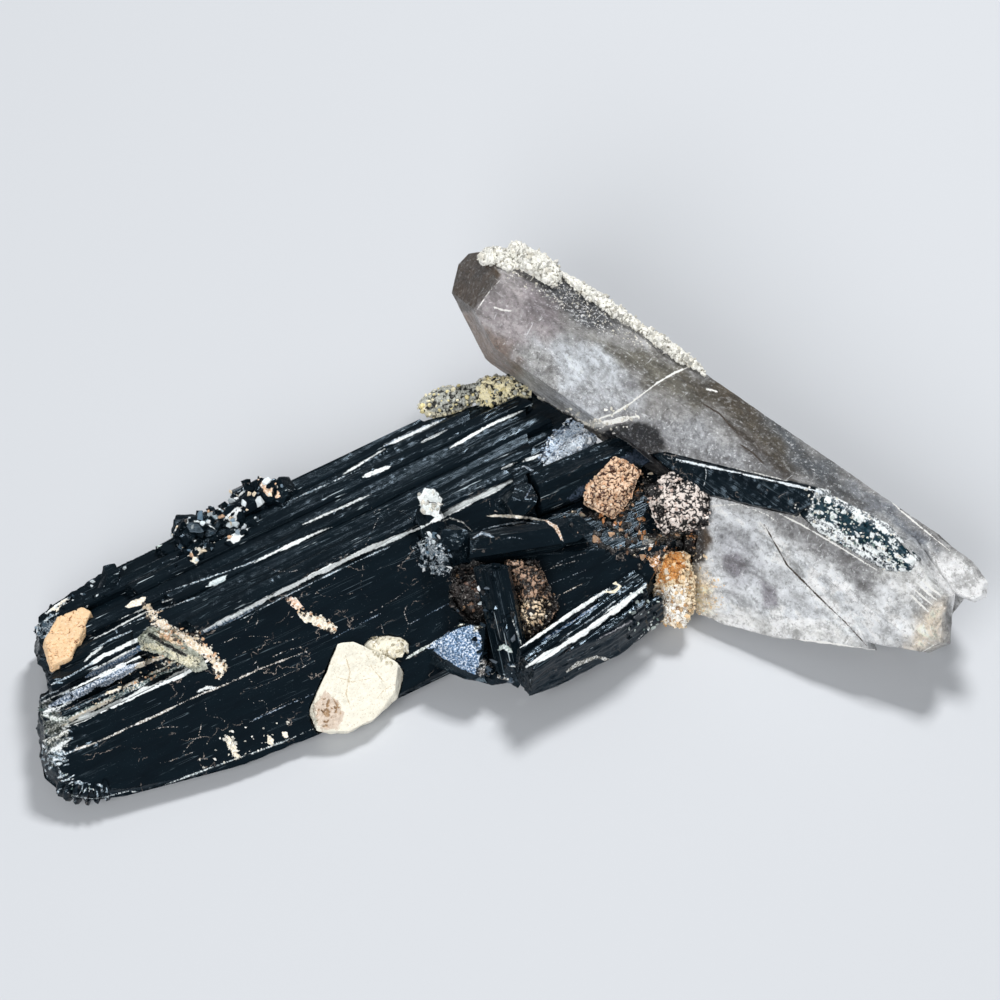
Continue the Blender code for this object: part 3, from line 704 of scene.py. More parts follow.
def chip_tree(name, material, sides):
    """Sets a rough chip on every spot, turned, sized and coloured by the spot's own values."""
    tree = bpy.data.node_groups.new(name, "GeometryNodeTree")
    tree.interface.new_socket("Geometry", in_out="INPUT", socket_type="NodeSocketGeometry")
    tree.interface.new_socket("Chip size", in_out="INPUT", socket_type="NodeSocketFloat")
    tree.interface.new_socket("Lumpiness", in_out="INPUT", socket_type="NodeSocketFloat")
    tree.interface.new_socket("Geometry", in_out="OUTPUT", socket_type="NodeSocketGeometry")
    recipe = Recipe(tree)
    entry = tree.nodes.new("NodeGroupInput")
    spots, chip_size, lumps = (Wire(recipe, entry.outputs[k]) for k in range(3))
    joined = tree.nodes.new("GeometryNodeGeometryToInstance")
    for kind in range(CHIP_KINDS):
        if sides:
            solid = recipe.add("GeometryNodeMeshCone", None, Vertices=sides, Radius_Top=0.6, Radius_Bottom=0.9,
                               Depth=2.6)
        else:
            solid = recipe.add("GeometryNodeMeshIcoSphere", None, Radius=1.0, Subdivisions=1)
        shape = recipe.add("ShaderNodeTexNoise", {"noise_dimensions": "4D"},
                           Vector=recipe.add("GeometryNodeInputPosition"), W=kind * 3.7, Scale=1.3, Detail=1.0,
                           out="Color")
        shift = recipe.add("ShaderNodeVectorMath", {"operation": "SUBTRACT"}, shape, (0.5, 0.5, 0.5))
        shift = recipe.add("ShaderNodeVectorMath", {"operation": "SCALE"}, shift, Scale=lumps)
        chip = recipe.add("GeometryNodeSetPosition", None, Geometry=solid, Offset=shift)
        tree.links.new(chip.socket, joined.inputs[0])
    kind = recipe.add("GeometryNodeInputNamedAttribute", {"data_type": "INT"}, "kind")
    turn = recipe.add("GeometryNodeInputNamedAttribute", {"data_type": "FLOAT_VECTOR"}, "turn")
    size = recipe.add("GeometryNodeInputNamedAttribute", {"data_type": "FLOAT_VECTOR"}, "size")
    size = recipe.add("ShaderNodeVectorMath", {"operation": "SCALE"}, size, Scale=chip_size)
    placed = recipe.add("GeometryNodeInstanceOnPoints", None, Points=spots, Instance=Wire(recipe, joined.outputs[0]),
                        Pick_Instance=True, Instance_Index=kind, Rotation=turn, Scale=size)
    real = recipe.add("GeometryNodeRealizeInstances", None, Geometry=placed)
    flat = recipe.add("GeometryNodeSetShadeSmooth", None, Geometry=real, Shade_Smooth=False)
    done = recipe.add("GeometryNodeSetMaterial", None, Geometry=flat, Material=material)
    exit_node = tree.nodes.new("NodeGroupOutput")
    tree.links.new(done.socket, exit_node.inputs[0])
    return tree


def chips_on(name, spots, values, material, lumpiness, sides):
    """Real chips on the spots (mm), made by the chip tree and then kept as one plain mesh."""
    mesh = bpy.data.meshes.new(name + "_spots")
    mesh.vertices.add(len(spots))
    mesh.vertices.foreach_set("co", np.ascontiguousarray(spots * MM, np.float32).ravel())
    give_values(mesh, values)
    kinds = mesh.attributes.new("kind", "INT", "POINT")
    kinds.data.foreach_set("value", np.arange(len(spots), dtype=np.int32) % CHIP_KINDS)
    source = bpy.data.objects.new(name + "_spots", mesh)
    bpy.context.scene.collection.objects.link(source)
    tree = chip_tree(name + "_tree", material, sides)
    modifier = source.modifiers.new("chips", "NODES")
    modifier.node_group = tree
    given = {"Chip size": MM, "Lumpiness": lumpiness}
    for item in tree.interface.items_tree:
        if item.in_out == "INPUT" and item.name in given:
            modifier[item.identifier] = given[item.name]
    graph = bpy.context.evaluated_depsgraph_get()
    made = bpy.data.meshes.new_from_object(source.evaluated_get(graph), depsgraph=graph)
    made.name = name
    bpy.data.objects.remove(source)
    obj = bpy.data.objects.new(name, made)
    bpy.context.scene.collection.objects.link(obj)
    return hang(obj, ())


# What the photograph shows on the big blade

WHITE = srgb(246, 251, 250)
PALE_STEEL = srgb(176, 194, 206)
STEEL = srgb(104, 126, 150)
CRACK_TAN = srgb(214, 198, 184)
PALE_CREAM = srgb(250, 238, 216)
GREY_CREAM = srgb(204, 204, 184)

# Most of these lines are painted light: the white, pale grey and steel-blue ones are painted highlights and
# reflections along the ridges, step edges and rims, and the teal ones beside them are their painted shaded sides. The
# cream ones are the trough's rubble.
BLADE_GLINTS_AND_BANDS = (
    # path, half width in pixels, colour, strength
    ([(86, 677), (120, 660), (154, 641)], 3.4, srgb(112, 144, 180), 1.0),
    ([(88, 672), (110, 661), (134, 648)], 0.8, WHITE, 0.9),
    ([(50, 706), (85, 690), (112, 677), (140, 664)], 5.0, srgb(160, 178, 202), 1.0),
    ([(46, 700), (70, 690), (100, 676), (128, 662), (150, 652)], 1.4, WHITE, 1.0),
    ([(44, 712), (56, 708), (72, 702)], 1.5, WHITE, 1.0),
    ([(60, 714), (90, 701), (124, 686), (146, 674)], 1.0, srgb(96, 112, 122), 0.9),
    ([(64, 721), (96, 706), (130, 690), (160, 674), (196, 660)], 2.4, srgb(126, 146, 142), 0.9),
    ([(64, 724), (80, 716), (96, 708), (112, 700)], 1.8, PALE_CREAM, 1.0),
    ([(106, 694), (126, 686), (140, 679)], 1.5, PALE_CREAM, 1.0),
    ([(136, 668), (150, 661), (168, 655)], 2.4, PALE_CREAM, 0.95),
    ([(146, 676), (160, 670), (172, 664)], 1.4, GREY_CREAM, 0.9),
    ([(160, 664), (176, 662), (190, 657)], 1.6, srgb(232, 232, 214), 0.9),
    ([(198, 634), (240, 613), (280, 592), (320, 572), (360, 553), (400, 536), (432, 523)], 2.5, WHITE, 1.0),
    ([(426, 525), (453, 510), (482, 496), (512, 481)], 2.7, WHITE, 1.0),
    ([(240, 620), (280, 599), (320, 579), (360, 560), (400, 542)], 0.9, PALE_STEEL, 0.9),
    ([(64, 728), (95, 713), (128, 699), (160, 684), (206, 662)], 2.8, WHITE, 1.0),
    ([(124, 700), (150, 688), (176, 676), (207, 661)], 3.4, WHITE, 1.0),
    ([(86, 667), (103, 656), (128, 644), (154, 631)], 2.2, WHITE, 1.0),
    ([(48, 686), (70, 676), (92, 663)], 1.2, PALE_STEEL, 0.9),
    ([(58, 758), (75, 750), (100, 741), (130, 727), (155, 716), (184, 702)], 1.2, srgb(216, 208, 196), 0.9),
    ([(180, 704), (204, 693), (222, 686), (262, 668), (305, 652)], 1.0, srgb(222, 212, 200), 0.9),
    ([(196, 692), (206, 688), (214, 687)], 1.8, WHITE, 0.9),
    ([(160, 594), (205, 579), (250, 563), (290, 545), (328, 527)], 0.9, PALE_STEEL, 0.9),
    ([(254, 563), (294, 542), (332, 527)], 1.2, WHITE, 0.9),
    ([(302, 525), (340, 508), (372, 494)], 1.3, WHITE, 0.9),
    ([(280, 551), (300, 541), (316, 533)], 1.4, WHITE, 1.0),
    ([(363, 477), (391, 466)], 2.2, WHITE, 1.0),
    ([(342, 475), (362, 463), (386, 448)], 1.3, WHITE, 0.9),
    ([(384, 446), (402, 438), (424, 428), (446, 418)], 2.2, srgb(150, 168, 188), 0.9),
    ([(390, 444), (412, 434), (438, 422)], 0.9, WHITE, 0.9),
    ([(420, 443), (447, 430)], 1.4, WHITE, 0.9),
    ([(367, 437), (405, 422)], 1.1, PALE_STEEL, 1.0),
    ([(450, 448), (490, 425), (524, 410)], 1.6, WHITE, 1.0),
    ([(541, 448), (566, 423)], 1.0, PALE_STEEL, 0.9),
    ([(501, 469), (520, 462), (543, 454)], 1.8, WHITE, 0.9),
    ([(186, 640), (240, 617), (262, 604)], 0.9, STEEL, 0.9),
    ([(120, 628), (160, 610), (200, 596)], 0.9, PALE_STEEL, 0.8),
    ([(92, 640), (112, 630), (130, 620), (152, 609)], 1.2, WHITE, 0.9),
    ([(96, 648), (110, 640), (134, 630)], 1.2, PALE_STEEL, 0.9),
    ([(84, 662), (92, 654), (104, 646)], 1.6, WHITE, 0.9),
    ([(170, 560), (215, 541), (262, 523)], 0.8, PALE_STEEL, 0.8),
    ([(280, 505), (330, 483), (362, 468)], 0.8, PALE_STEEL, 0.8),
    ([(116, 560), (140, 553), (162, 545)], 1.8, srgb(226, 236, 230), 1.0),
    ([(172, 536), (178, 526), (190, 521), (204, 522), (216, 530)], 1.2, WHITE, 1.0),
    ([(176, 544), (184, 552), (196, 553), (208, 545), (218, 538)], 1.2, srgb(214, 226, 232), 1.0),
    ([(224, 520), (232, 512), (240, 506)], 1.6, WHITE, 1.0),
    ([(208, 510), (222, 500), (238, 492), (250, 484)], 1.0, PALE_STEEL, 0.9),
    ([(228, 498), (238, 496), (246, 490)], 1.4, WHITE, 1.0),
    ([(42, 714), (56, 720), (70, 722)], 1.3, srgb(206, 214, 206), 0.9),
    ([(46, 732), (56, 726), (68, 720)], 1.2, srgb(186, 190, 178), 0.9),
    ([(44, 742), (56, 738), (70, 729)], 1.5, srgb(196, 196, 184), 0.9),
    ([(50, 752), (60, 746), (72, 738)], 1.2, WHITE, 0.9),
    ([(52, 762), (62, 756), (74, 750)], 1.0, PALE_STEEL, 0.9),
    ([(40, 700), (48, 694), (60, 690)], 1.0, PALE_STEEL, 0.9),
    ([(46, 614), (58, 604), (72, 597)], 1.5, WHITE, 0.9),
    ([(38, 630), (48, 618), (60, 612)], 1.2, PALE_STEEL, 0.8),
    ([(34, 640), (38, 630), (40, 622)], 1.4, WHITE, 0.8),
    ([(62, 624), (74, 616), (90, 604)], 0.9, PALE_STEEL, 0.8),
    ([(118, 620), (150, 606), (176, 598)], 0.9, WHITE, 0.9),
    ([(250, 722), (285, 706), (318, 692)], 0.7, STEEL, 0.8),
    ([(330, 640), (352, 628), (384, 612)], 0.7, STEEL, 0.8),
    ([(408, 625), (440, 608), (470, 592)], 0.8, STEEL, 0.8),
    ([(404, 660), (424, 648), (452, 633)], 1.6, srgb(206, 214, 206), 0.9),
    ([(62, 789), (74, 796), (92, 799), (106, 797), (127, 791), (147, 793)], 0.9, srgb(190, 200, 204), 0.9),
    ([(147, 793), (170, 783), (210, 768), (250, 754), (285, 741), (320, 726)], 0.9, srgb(196, 206, 208), 0.9),
)

BLADE_CRACKS = (
    [(216, 646), (234, 638), (253, 636), (272, 637), (282, 636)],
    [(221, 660), (240, 654), (260, 646), (275, 643), (295, 639), (307, 636)],
    [(245, 633), (248, 622), (253, 615), (257, 608), (258, 620), (253, 633)],
    [(285, 630), (291, 617), (301, 612), (308, 617)],
    [(311, 598), (319, 590), (330, 584), (336, 576)],
    [(314, 590), (323, 596), (336, 597), (349, 594), (358, 592)],
    [(362, 555), (363, 572), (360, 588), (368, 598), (366, 608)],
    [(352, 622), (374, 611), (397, 598), (413, 585), (425, 576)],
    [(250, 690), (266, 684), (285, 675), (301, 668), (317, 660)],
    [(239, 671), (250, 668), (258, 660), (258, 668), (247, 676), (250, 681), (264, 686)],
    [(250, 692), (248, 699), (253, 703), (263, 700), (268, 706), (266, 716)],
    [(205, 700), (207, 716), (221, 718), (234, 729), (229, 735)],
    [(228, 727), (250, 722), (269, 711), (291, 700), (311, 694)],
    [(183, 684), (186, 690), (177, 703)],
    [(140, 732), (164, 727), (183, 727)],
    [(202, 722), (199, 735), (189, 745), (180, 757)],
    [(156, 764), (170, 761), (196, 751)],
    [(225, 737), (234, 748), (239, 760)],
    [(298, 649), (307, 652), (311, 659), (304, 662)],
    [(268, 659), (285, 651), (301, 647), (307, 654)],
    [(264, 566), (276, 571), (291, 572), (301, 569)],
    [(371, 507), (378, 518), (374, 528), (368, 541), (362, 549)],
    [(374, 510), (390, 509), (403, 512), (413, 521)],
    [(489, 499), (491, 509), (500, 513)],
    [(330, 560), (345, 556), (355, 549)],
    [(380, 620), (384, 634), (379, 648)],
    [(410, 600), (404, 612), (409, 626), (402, 640)],
)

BLADE_PATCHES = (
    # outline, colour, softness in pixels
    ([(256, 477), (266, 482), (278, 491), (281, 498), (270, 498), (261, 489)], srgb(255, 214, 178), 2.0),
    ([(229, 521), (237, 508), (244, 504), (242, 514), (234, 525)], WHITE, 2.0),
    ([(186, 554), (196, 549), (204, 549), (201, 557), (196, 566), (191, 562)], PALE_CREAM, 2.4),
    ([(226, 541), (236, 532), (247, 529), (241, 540), (231, 546)], WHITE, 2.4),
    ([(206, 520), (216, 512), (226, 508), (220, 518), (210, 524)], srgb(170, 196, 210), 2.4),
    ([(144, 604), (152, 608), (164, 622), (182, 630), (204, 642), (222, 662), (225, 674), (218, 678), (210, 662),
      (190, 650), (170, 640), (152, 624)], srgb(244, 226, 200), 6.0),
    ([(124, 606), (136, 598), (147, 597), (142, 604), (130, 610)], PALE_CREAM, 2.0),
    ([(286, 600), (291, 596), (298, 600), (304, 607), (296, 610), (289, 606)], srgb(255, 222, 200), 2.4),
    ([(296, 612), (310, 613), (326, 619), (338, 627), (334, 633), (318, 628), (304, 623)], PALE_CREAM, 3.2),
    ([(224, 737), (230, 735), (236, 748), (240, 759), (233, 756), (227, 746)], PALE_CREAM, 2.4),
    ([(214, 655), (222, 660), (224, 668), (220, 680), (215, 672)], PALE_CREAM, 2.4),
    ([(266, 735), (273, 738), (272, 745), (267, 744)], PALE_CREAM, 2.0),
    ([(282, 733), (288, 732), (288, 738), (283, 739)], PALE_CREAM, 1.8),
    ([(205, 586), (216, 578), (228, 574), (226, 580), (214, 587)], srgb(226, 238, 240), 2.4),
    ([(52, 610), (62, 603), (68, 600), (58, 612)], PALE_CREAM, 2.4),
    ([(118, 554), (142, 547), (160, 545), (150, 551), (125, 561)], srgb(205, 222, 214), 2.4),
    ([(34, 634), (44, 622), (60, 616), (70, 620), (56, 632), (44, 640)], srgb(96, 112, 124), 8.0),
    ([(540, 462), (548, 440), (574, 418), (602, 426), (592, 446), (570, 458)], srgb(190, 208, 228), 9.0),
)

END_SHEEN = [(36, 704), (48, 700), (70, 715), (72, 735), (62, 762), (52, 765), (42, 745), (39, 716)]

# The small crystals in the middle: their pale edges, stripes and facets.
MIDDLE_MARKS = (
    ([(486, 516), (508, 516), (530, 518), (548, 521)], 1.5, srgb(250, 240, 222), 0.9),
    ([(545, 520), (556, 527), (563, 541)], 2.0, srgb(240, 204, 172), 0.9),
    ([(480, 530), (500, 525), (522, 522), (540, 524)], 0.9, srgb(176, 192, 206), 0.8),
    ([(473, 538), (482, 533), (494, 537)], 1.6, srgb(150, 170, 190), 0.9),
    ([(500, 540), (512, 537), (528, 540)], 0.7, srgb(130, 144, 160), 0.9),
    ([(550, 515), (572, 513), (590, 516)], 0.8, srgb(120, 136, 150), 0.8),
    ([(440, 522), (450, 518), (462, 522), (472, 531)], 0.8, srgb(206, 204, 196), 0.8),
    ([(512, 470), (524, 466), (538, 474)], 1.0, srgb(176, 190, 206), 0.8),
    ([(538, 474), (532, 486), (524, 500)], 0.8, srgb(120, 140, 170), 0.8),
    ([(560, 470), (600, 446), (626, 430)], 0.8, srgb(110, 130, 150), 0.7),
    ([(455, 627), (470, 621), (484, 618)], 1.4, srgb(206, 200, 170), 0.8),
    ([(497, 650), (504, 646), (512, 652)], 2.4, srgb(206, 222, 216), 0.9),
    ([(508, 664), (516, 666), (526, 668)], 2.2, WHITE, 0.9),
    ([(480, 664), (490, 672), (502, 678), (514, 682)], 1.6, srgb(186, 180, 170), 0.8),
    ([(508, 606), (514, 624), (522, 646), (526, 664)], 0.9, srgb(196, 204, 200), 0.8),
    ([(646, 479), (637, 493), (626, 509), (616, 521), (609, 530)], 1.5, srgb(214, 184, 150), 1.0),
    ([(648, 474), (658, 471), (670, 473)], 2.0, srgb(250, 232, 204), 1.0),
    ([(612, 526), (620, 522), (628, 526)], 1.6, srgb(216, 140, 84), 1.0),
    ([(611, 532), (622, 534), (636, 541)], 1.2, srgb(150, 156, 140), 0.9),
    ([(639, 538), (660, 536), (682, 533), (702, 530)], 2.4, srgb(120, 108, 90), 0.9),
    ([(628, 551), (642, 549), (658, 544)], 1.0, srgb(214, 204, 190), 0.9),
    ([(622, 548), (638, 556), (660, 553), (672, 548)], 0.9, srgb(96, 78, 64), 0.9),
    ([(535, 575), (556, 566), (580, 560)], 0.6, srgb(150, 140, 130), 0.8),
    ([(540, 588), (560, 580), (586, 570)], 0.6, srgb(130, 140, 150), 0.8),
    ([(548, 600), (566, 592), (590, 580)], 0.7, srgb(176, 160, 140), 0.8),
    ([(552, 566), (568, 558), (590, 552)], 0.5, srgb(120, 130, 140), 0.8),
)

# The blue facet at the foot of the steep prism.
FACET = [(427, 648), (450, 631), (474, 622), (482, 640), (480, 662), (475, 676), (452, 664)]

MIDDLE_PATCHES = (
    (FACET, srgb(120, 152, 190), 3.0, 1.0),
    ([(470, 616), (484, 614), (486, 628), (474, 630)], srgb(176, 168, 140), 4.0, 0.9),
    ([(482, 658), (494, 664), (490, 678), (478, 676)], srgb(140, 132, 124), 5.0, 0.9),
    ([(416, 498), (424, 488), (434, 488), (442, 500), (438, 516), (424, 515)], srgb(242, 248, 246), 2.0, 1.0),
    ([(412, 548), (428, 534), (446, 546), (450, 572), (432, 575), (416, 562)], srgb(150, 166, 178), 20.0, 0.9),
    ([(640, 534), (668, 530), (704, 527), (700, 536), (670, 542), (644, 545)], srgb(96, 86, 72), 5.0, 1.0),
    ([(646, 556), (668, 546), (686, 552), (680, 566), (655, 576)], srgb(206, 146, 84), 8.0, 1.0),
)


def end_flutes(at, points):
    """How far each point lies on one of the short grooves that run in from the rounded lower left end."""
    away = at - np.array((100.0, 754.0))
    turn = np.degrees(np.arctan2(away[:, 1], away[:, 0])) % 360
    reach = np.hypot(away[:, 0], away[:, 1] * 1.05)
    where = ease(reach, 26.0, 36.0) * ease(turn, 70.0, 84.0) * (1 - ease(turn, 184.0, 196.0))
    wave = 0.5 + 0.5 * np.sin(np.radians(turn * 56 + 200 * cloud(points, 1.6, 61, 2)))
    return where, wave


def blade_lay(points):
    """Each point in the frame of the crystal that it belongs to, so that grooves follow that crystal."""
    lay = BLADE.inside(points)
    for number, (place, radius, half) in enumerate(SMALL):
        own = place.inside(points)
        mine = (np.abs(own[:, 0]) < half + 0.4) & (np.hypot(own[:, 1], own[:, 2]) < radius * 1.22)
        lay[mine] = own[mine] + 40.0 * (number + 1)
    return lay


# How long an edge may be (mm) on the blade and on the quartz, and how near a mark (photo pixels) it gets shorter.
BLADE_SEEN = 0.48
BLADE_UNSEEN = 0.95
BLADE_BOTTOM = 2.5
BLADE_MIDDLE = 0.43
BLADE_MARKS = ((2.4, 0.25), (1.2, 0.2))
QUARTZ_SEEN = 0.36
QUARTZ_UNSEEN = 0.8
QUARTZ_MARKS = (2.6, 0.2)


def blade_grain(near):
    """How long an edge may be: short on what the photograph shows, shortest along its fine marks."""
    def wanted(middle, normal):
        seen = normal @ BACK > -0.05
        length = np.where(seen, BLADE_SEEN, BLADE_UNSEEN)
        length = np.where(normal[:, 2] < -0.6, BLADE_BOTTOM, length)
        own = BLADE.inside(middle)
        length = np.where(seen & (own[:, 0] > 5.0) & (own[:, 1] < 2.0), BLADE_MIDDLE, length)
        gap = near(pixels(middle))
        for reach, short in BLADE_MARKS:
            length = np.where(seen & (gap < reach), short, length)
        return length

    return wanted


def blade_weight(start, end):
    """Edges along the blade count less than those across it, because its grooves and ridges run along it."""
    first, last = BLADE.inside(start), BLADE.inside(end)
    along = ((last - first)[:, 0] / np.maximum(np.linalg.norm(last - first, axis=1), 1e-9)) ** 2
    middle = (first[:, 0] > 5.0) & (first[:, 1] < 2.0)
    return np.where(middle, 1.0, np.sqrt(1 - 0.84 * along))


def build_blade(look):
    lines = [mark[0] for mark in BLADE_GLINTS_AND_BANDS + MIDDLE_MARKS] + list(BLADE_CRACKS)
    lines.append([(66, 760), (64, 774), (74, 788), (90, 793), (108, 792)])
    lines += [ring(patch[0]) for patch in BLADE_PATCHES]
    points, tris = refine(*node_shell("aegirine_blade"), blade_grain(Nearness(lines, 4.0)), blade_weight)
    normals = point_normals(points, tris)
    own = BLADE.inside(points)
    lay = blade_lay(points)
    on_blade = np.abs(lay - own).max(axis=1) < 1e-6
    up = ease(normals[:, 2], -0.2, 0.3)
    terrace = ease(own[:, 1], -0.5, 0.5) * up
    front = (1 - terrace) * ease(normals[:, 2], 0.3, 0.7)
    steps = np.tanh(2.2 * cloud(own, (26.0, 0.85, 5.0), 3, 3, 0.6))
    fine = cloud(own, (12.0, 0.45, 2.0), 5, 2)
    relief = terrace * (0.13 * steps + 0.04 * fine)
    relief = relief + front * (0.045 * cloud(own, (30.0, 1.3, 5.0), 8, 2) + 0.05 * cloud(own, (9.0, 5.0, 5.0), 9, 2))
    wall = ease(-np.abs(normals[:, 2]), -0.55, -0.2)
    relief = relief + wall * (0.3 * cloud(own, (6.0, 2.0, 0.9), 11, 3) - 0.1)
    ragged = ease(-own[:, 0], 36.5, 42.0) * (1 - ease(-normals[:, 2], 0.4, 0.8))
    ragged = ragged * (1 - 0.85 * ease(pixels(points)[:, 1], 752.0, 774.0))
    relief = relief + ragged * 0.35 * cloud(own, (2.2, 0.8, 0.8), 13, 3)
    small = np.where(on_blade, 0.0, 1.0)
    groove = np.tanh(2.0 * cloud(lay, (14.0, 0.55, 0.55), 15, 3, 0.6))
    relief = relief * (1 - small) + small * (0.08 * groove + 0.03 * cloud(points, 0.8, 16, 2))
    fluted, wave = end_flutes(pixels(points), points)
    relief = relief + fluted * (0.06 * wave - 0.03)
    points = points + normals * (relief * ease(points[:, 2], 0.0, 0.6))[:, None]
    points[:, 2] = np.maximum(points[:, 2], 0.0)
    paint = Paint(points, normals, 1.3, -0.08)
    paint.patch(END_SHEEN, srgb(96, 100, 92), 24.0, 0.8)
    for path in BLADE_CRACKS:
        paint.stroke(path, 0.45, CRACK_TAN, 0.7)
    # Painted highlights along the ridges and step edges, with the trough's cream bands.
    for path, width, colour, strength in BLADE_GLINTS_AND_BANDS:
        paint.stroke(path, width, colour, strength)
    # Painted highlights on the crests of the flutes round the rounded lower left end.
    patchy = np.clip(0.5 + cloud(points, 1.2, 62, 2), 0, 1)
    paint.lay(np.arange(len(points)), 1.7 * fluted * wave ** 2 * patchy * paint.seen, PALE_STEEL)
    for outline, colour, soft in BLADE_PATCHES:
        paint.patch(outline, colour, soft)
    for outline, colour, soft, strength in MIDDLE_PATCHES:
        paint.patch(outline, colour, soft, strength)
    for path, width, colour, strength in MIDDLE_MARKS:
        paint.stroke(path, width, colour, strength)
    # The streaks value says where the painted highlight streaks go: on the up-facing terraces, less on the walls, and
    # on the small crystals.
    finish_piece("aegirine_blade_crystal", points, tris, look.aegirine, ["aegirine_blade"],
                 {"lay": lay, "marks": paint.rgba, "streaks": np.clip(terrace + 0.25 * wall + 0.6 * small, 0, 1)})


def crystal_piece(name, node, place, look, length=0.3, groove=0.1, marks=(), patches=(), blotches=None, swell=0.0,
                  streaky=0.7):
    """A smaller aegirine crystal, grooved along its own x.

    Blotches are an outline, the pale colour within it, the dark one that shows through, and the line it shows along.
    Streaky says how much of it carries painted highlight streaks.
    """
    points, tris = refine(
        *node_shell(node), lambda middle, normal: np.where(normal @ BACK > -0.05, length, length * 2.2)
    )
    normals = point_normals(points, tris)
    own = place.inside(points)
    relief = swell + groove * np.tanh(2.0 * cloud(own, (16.0, 0.6, 0.6), 21, 3, 0.6)) + 0.05 * cloud(own, 0.9, 22, 2)
    points = points + normals * relief[:, None]
    paint = Paint(points, normals, 1.6, -1.3 if blotches else 0.02)
    if blotches:
        outline, colour, dark, spine = blotches
        which, cover = paint.cover_of(outline, 6.0)
        paint.lay(which, cover, colour)
        near_spine = 1 - ease(gap_to(spine, paint.at[which]), 3.0, 16.0)
        broken = cloud(own[which], (1.1, 0.6, 0.6), 23, 3, 0.7)
        paint.lay(which, cover * ease(broken + 1.5 * near_spine, 0.45, 0.9), dark)
        flecks = ease(cloud(own[which], (0.8, 0.35, 0.35), 24, 2), 0.16, 0.5)
        paint.lay(which, cover * flecks, WHITE)
    for outline, colour, soft, strength in patches:
        paint.patch(outline, colour, soft, strength)
    for path, width, colour, strength in marks:
        paint.stroke(path, width, colour, strength)
    finish_piece(name, points, tris, look.aegirine, [node],
                 {"lay": own, "marks": paint.rgba, "streaks": np.full(len(points), streaky)})


# The front crystal's lines: the white, pale and steel-blue ones are painted highlights along its ridges, and the
# yellow, cream and tan ones are crust.
FRONT_GLINTS_AND_MARKS = (
    ([(520, 648), (545, 631), (575, 611), (610, 588)], 2.0, WHITE, 1.0),
    ([(526, 667), (555, 650), (584, 632), (615, 610), (648, 584)], 3.0, WHITE, 1.0),
    ([(540, 642), (575, 620), (604, 600)], 1.4, srgb(110, 140, 176), 0.9),
    ([(560, 640), (590, 620), (622, 596)], 0.9, srgb(170, 190, 204), 0.9),
    ([(524, 634), (545, 621), (575, 602), (600, 586)], 0.9, srgb(200, 170, 140), 0.8),
    ([(588, 585), (598, 580), (608, 576), (618, 572)], 3.4, srgb(240, 230, 160), 1.0),
    ([(602, 584), (612, 581), (620, 586), (614, 592), (606, 592)], 1.6, srgb(250, 240, 210), 1.0),
    ([(566, 672), (578, 664), (596, 657), (610, 660)], 2.0, srgb(206, 202, 190), 0.8),
    ([(596, 640), (612, 632), (630, 622), (640, 612)], 1.1, srgb(170, 168, 176), 0.7),
    ([(600, 673), (625, 654), (645, 632)], 1.3, srgb(190, 190, 190), 0.6),
)

BACK_PATCHES = (
    ([(566, 500), (600, 470), (640, 445), (655, 462), (620, 470), (590, 490), (575, 505)],
     srgb(62, 74, 92), 8.0, 0.6),
)

SLIVER_MARKS = (
    ([(663, 457), (720, 469), (770, 480), (821, 492)], 1.3, srgb(232, 240, 246), 1.0),
    ([(706, 466), (706, 478), (703, 488)], 0.7, srgb(190, 200, 205), 0.7),
)

SLIVER_TAIL = ([(820, 478), (840, 490), (884, 514), (930, 556), (924, 584), (879, 586), (842, 562), (800, 540),
                (806, 512)], srgb(150, 154, 156), srgb(14, 46, 56), [(822, 508), (850, 522), (876, 538), (904, 560)])


def build_smaller_crystals(look):
    crystal_piece("aegirine_front_crystal", "aegirine_front", FRONT, look, 0.26, 0.12, FRONT_GLINTS_AND_MARKS)
    crystal_piece("aegirine_back_crystal", "aegirine_back", BACK_CRYSTAL, look, 0.26, 0.1, (), BACK_PATCHES)
    crystal_piece("aegirine_sliver_crystal", "aegirine_sliver", POINT_FACE, look, 0.2, 0.08, SLIVER_MARKS, (),
                  SLIVER_TAIL, 0.24, 0.1)
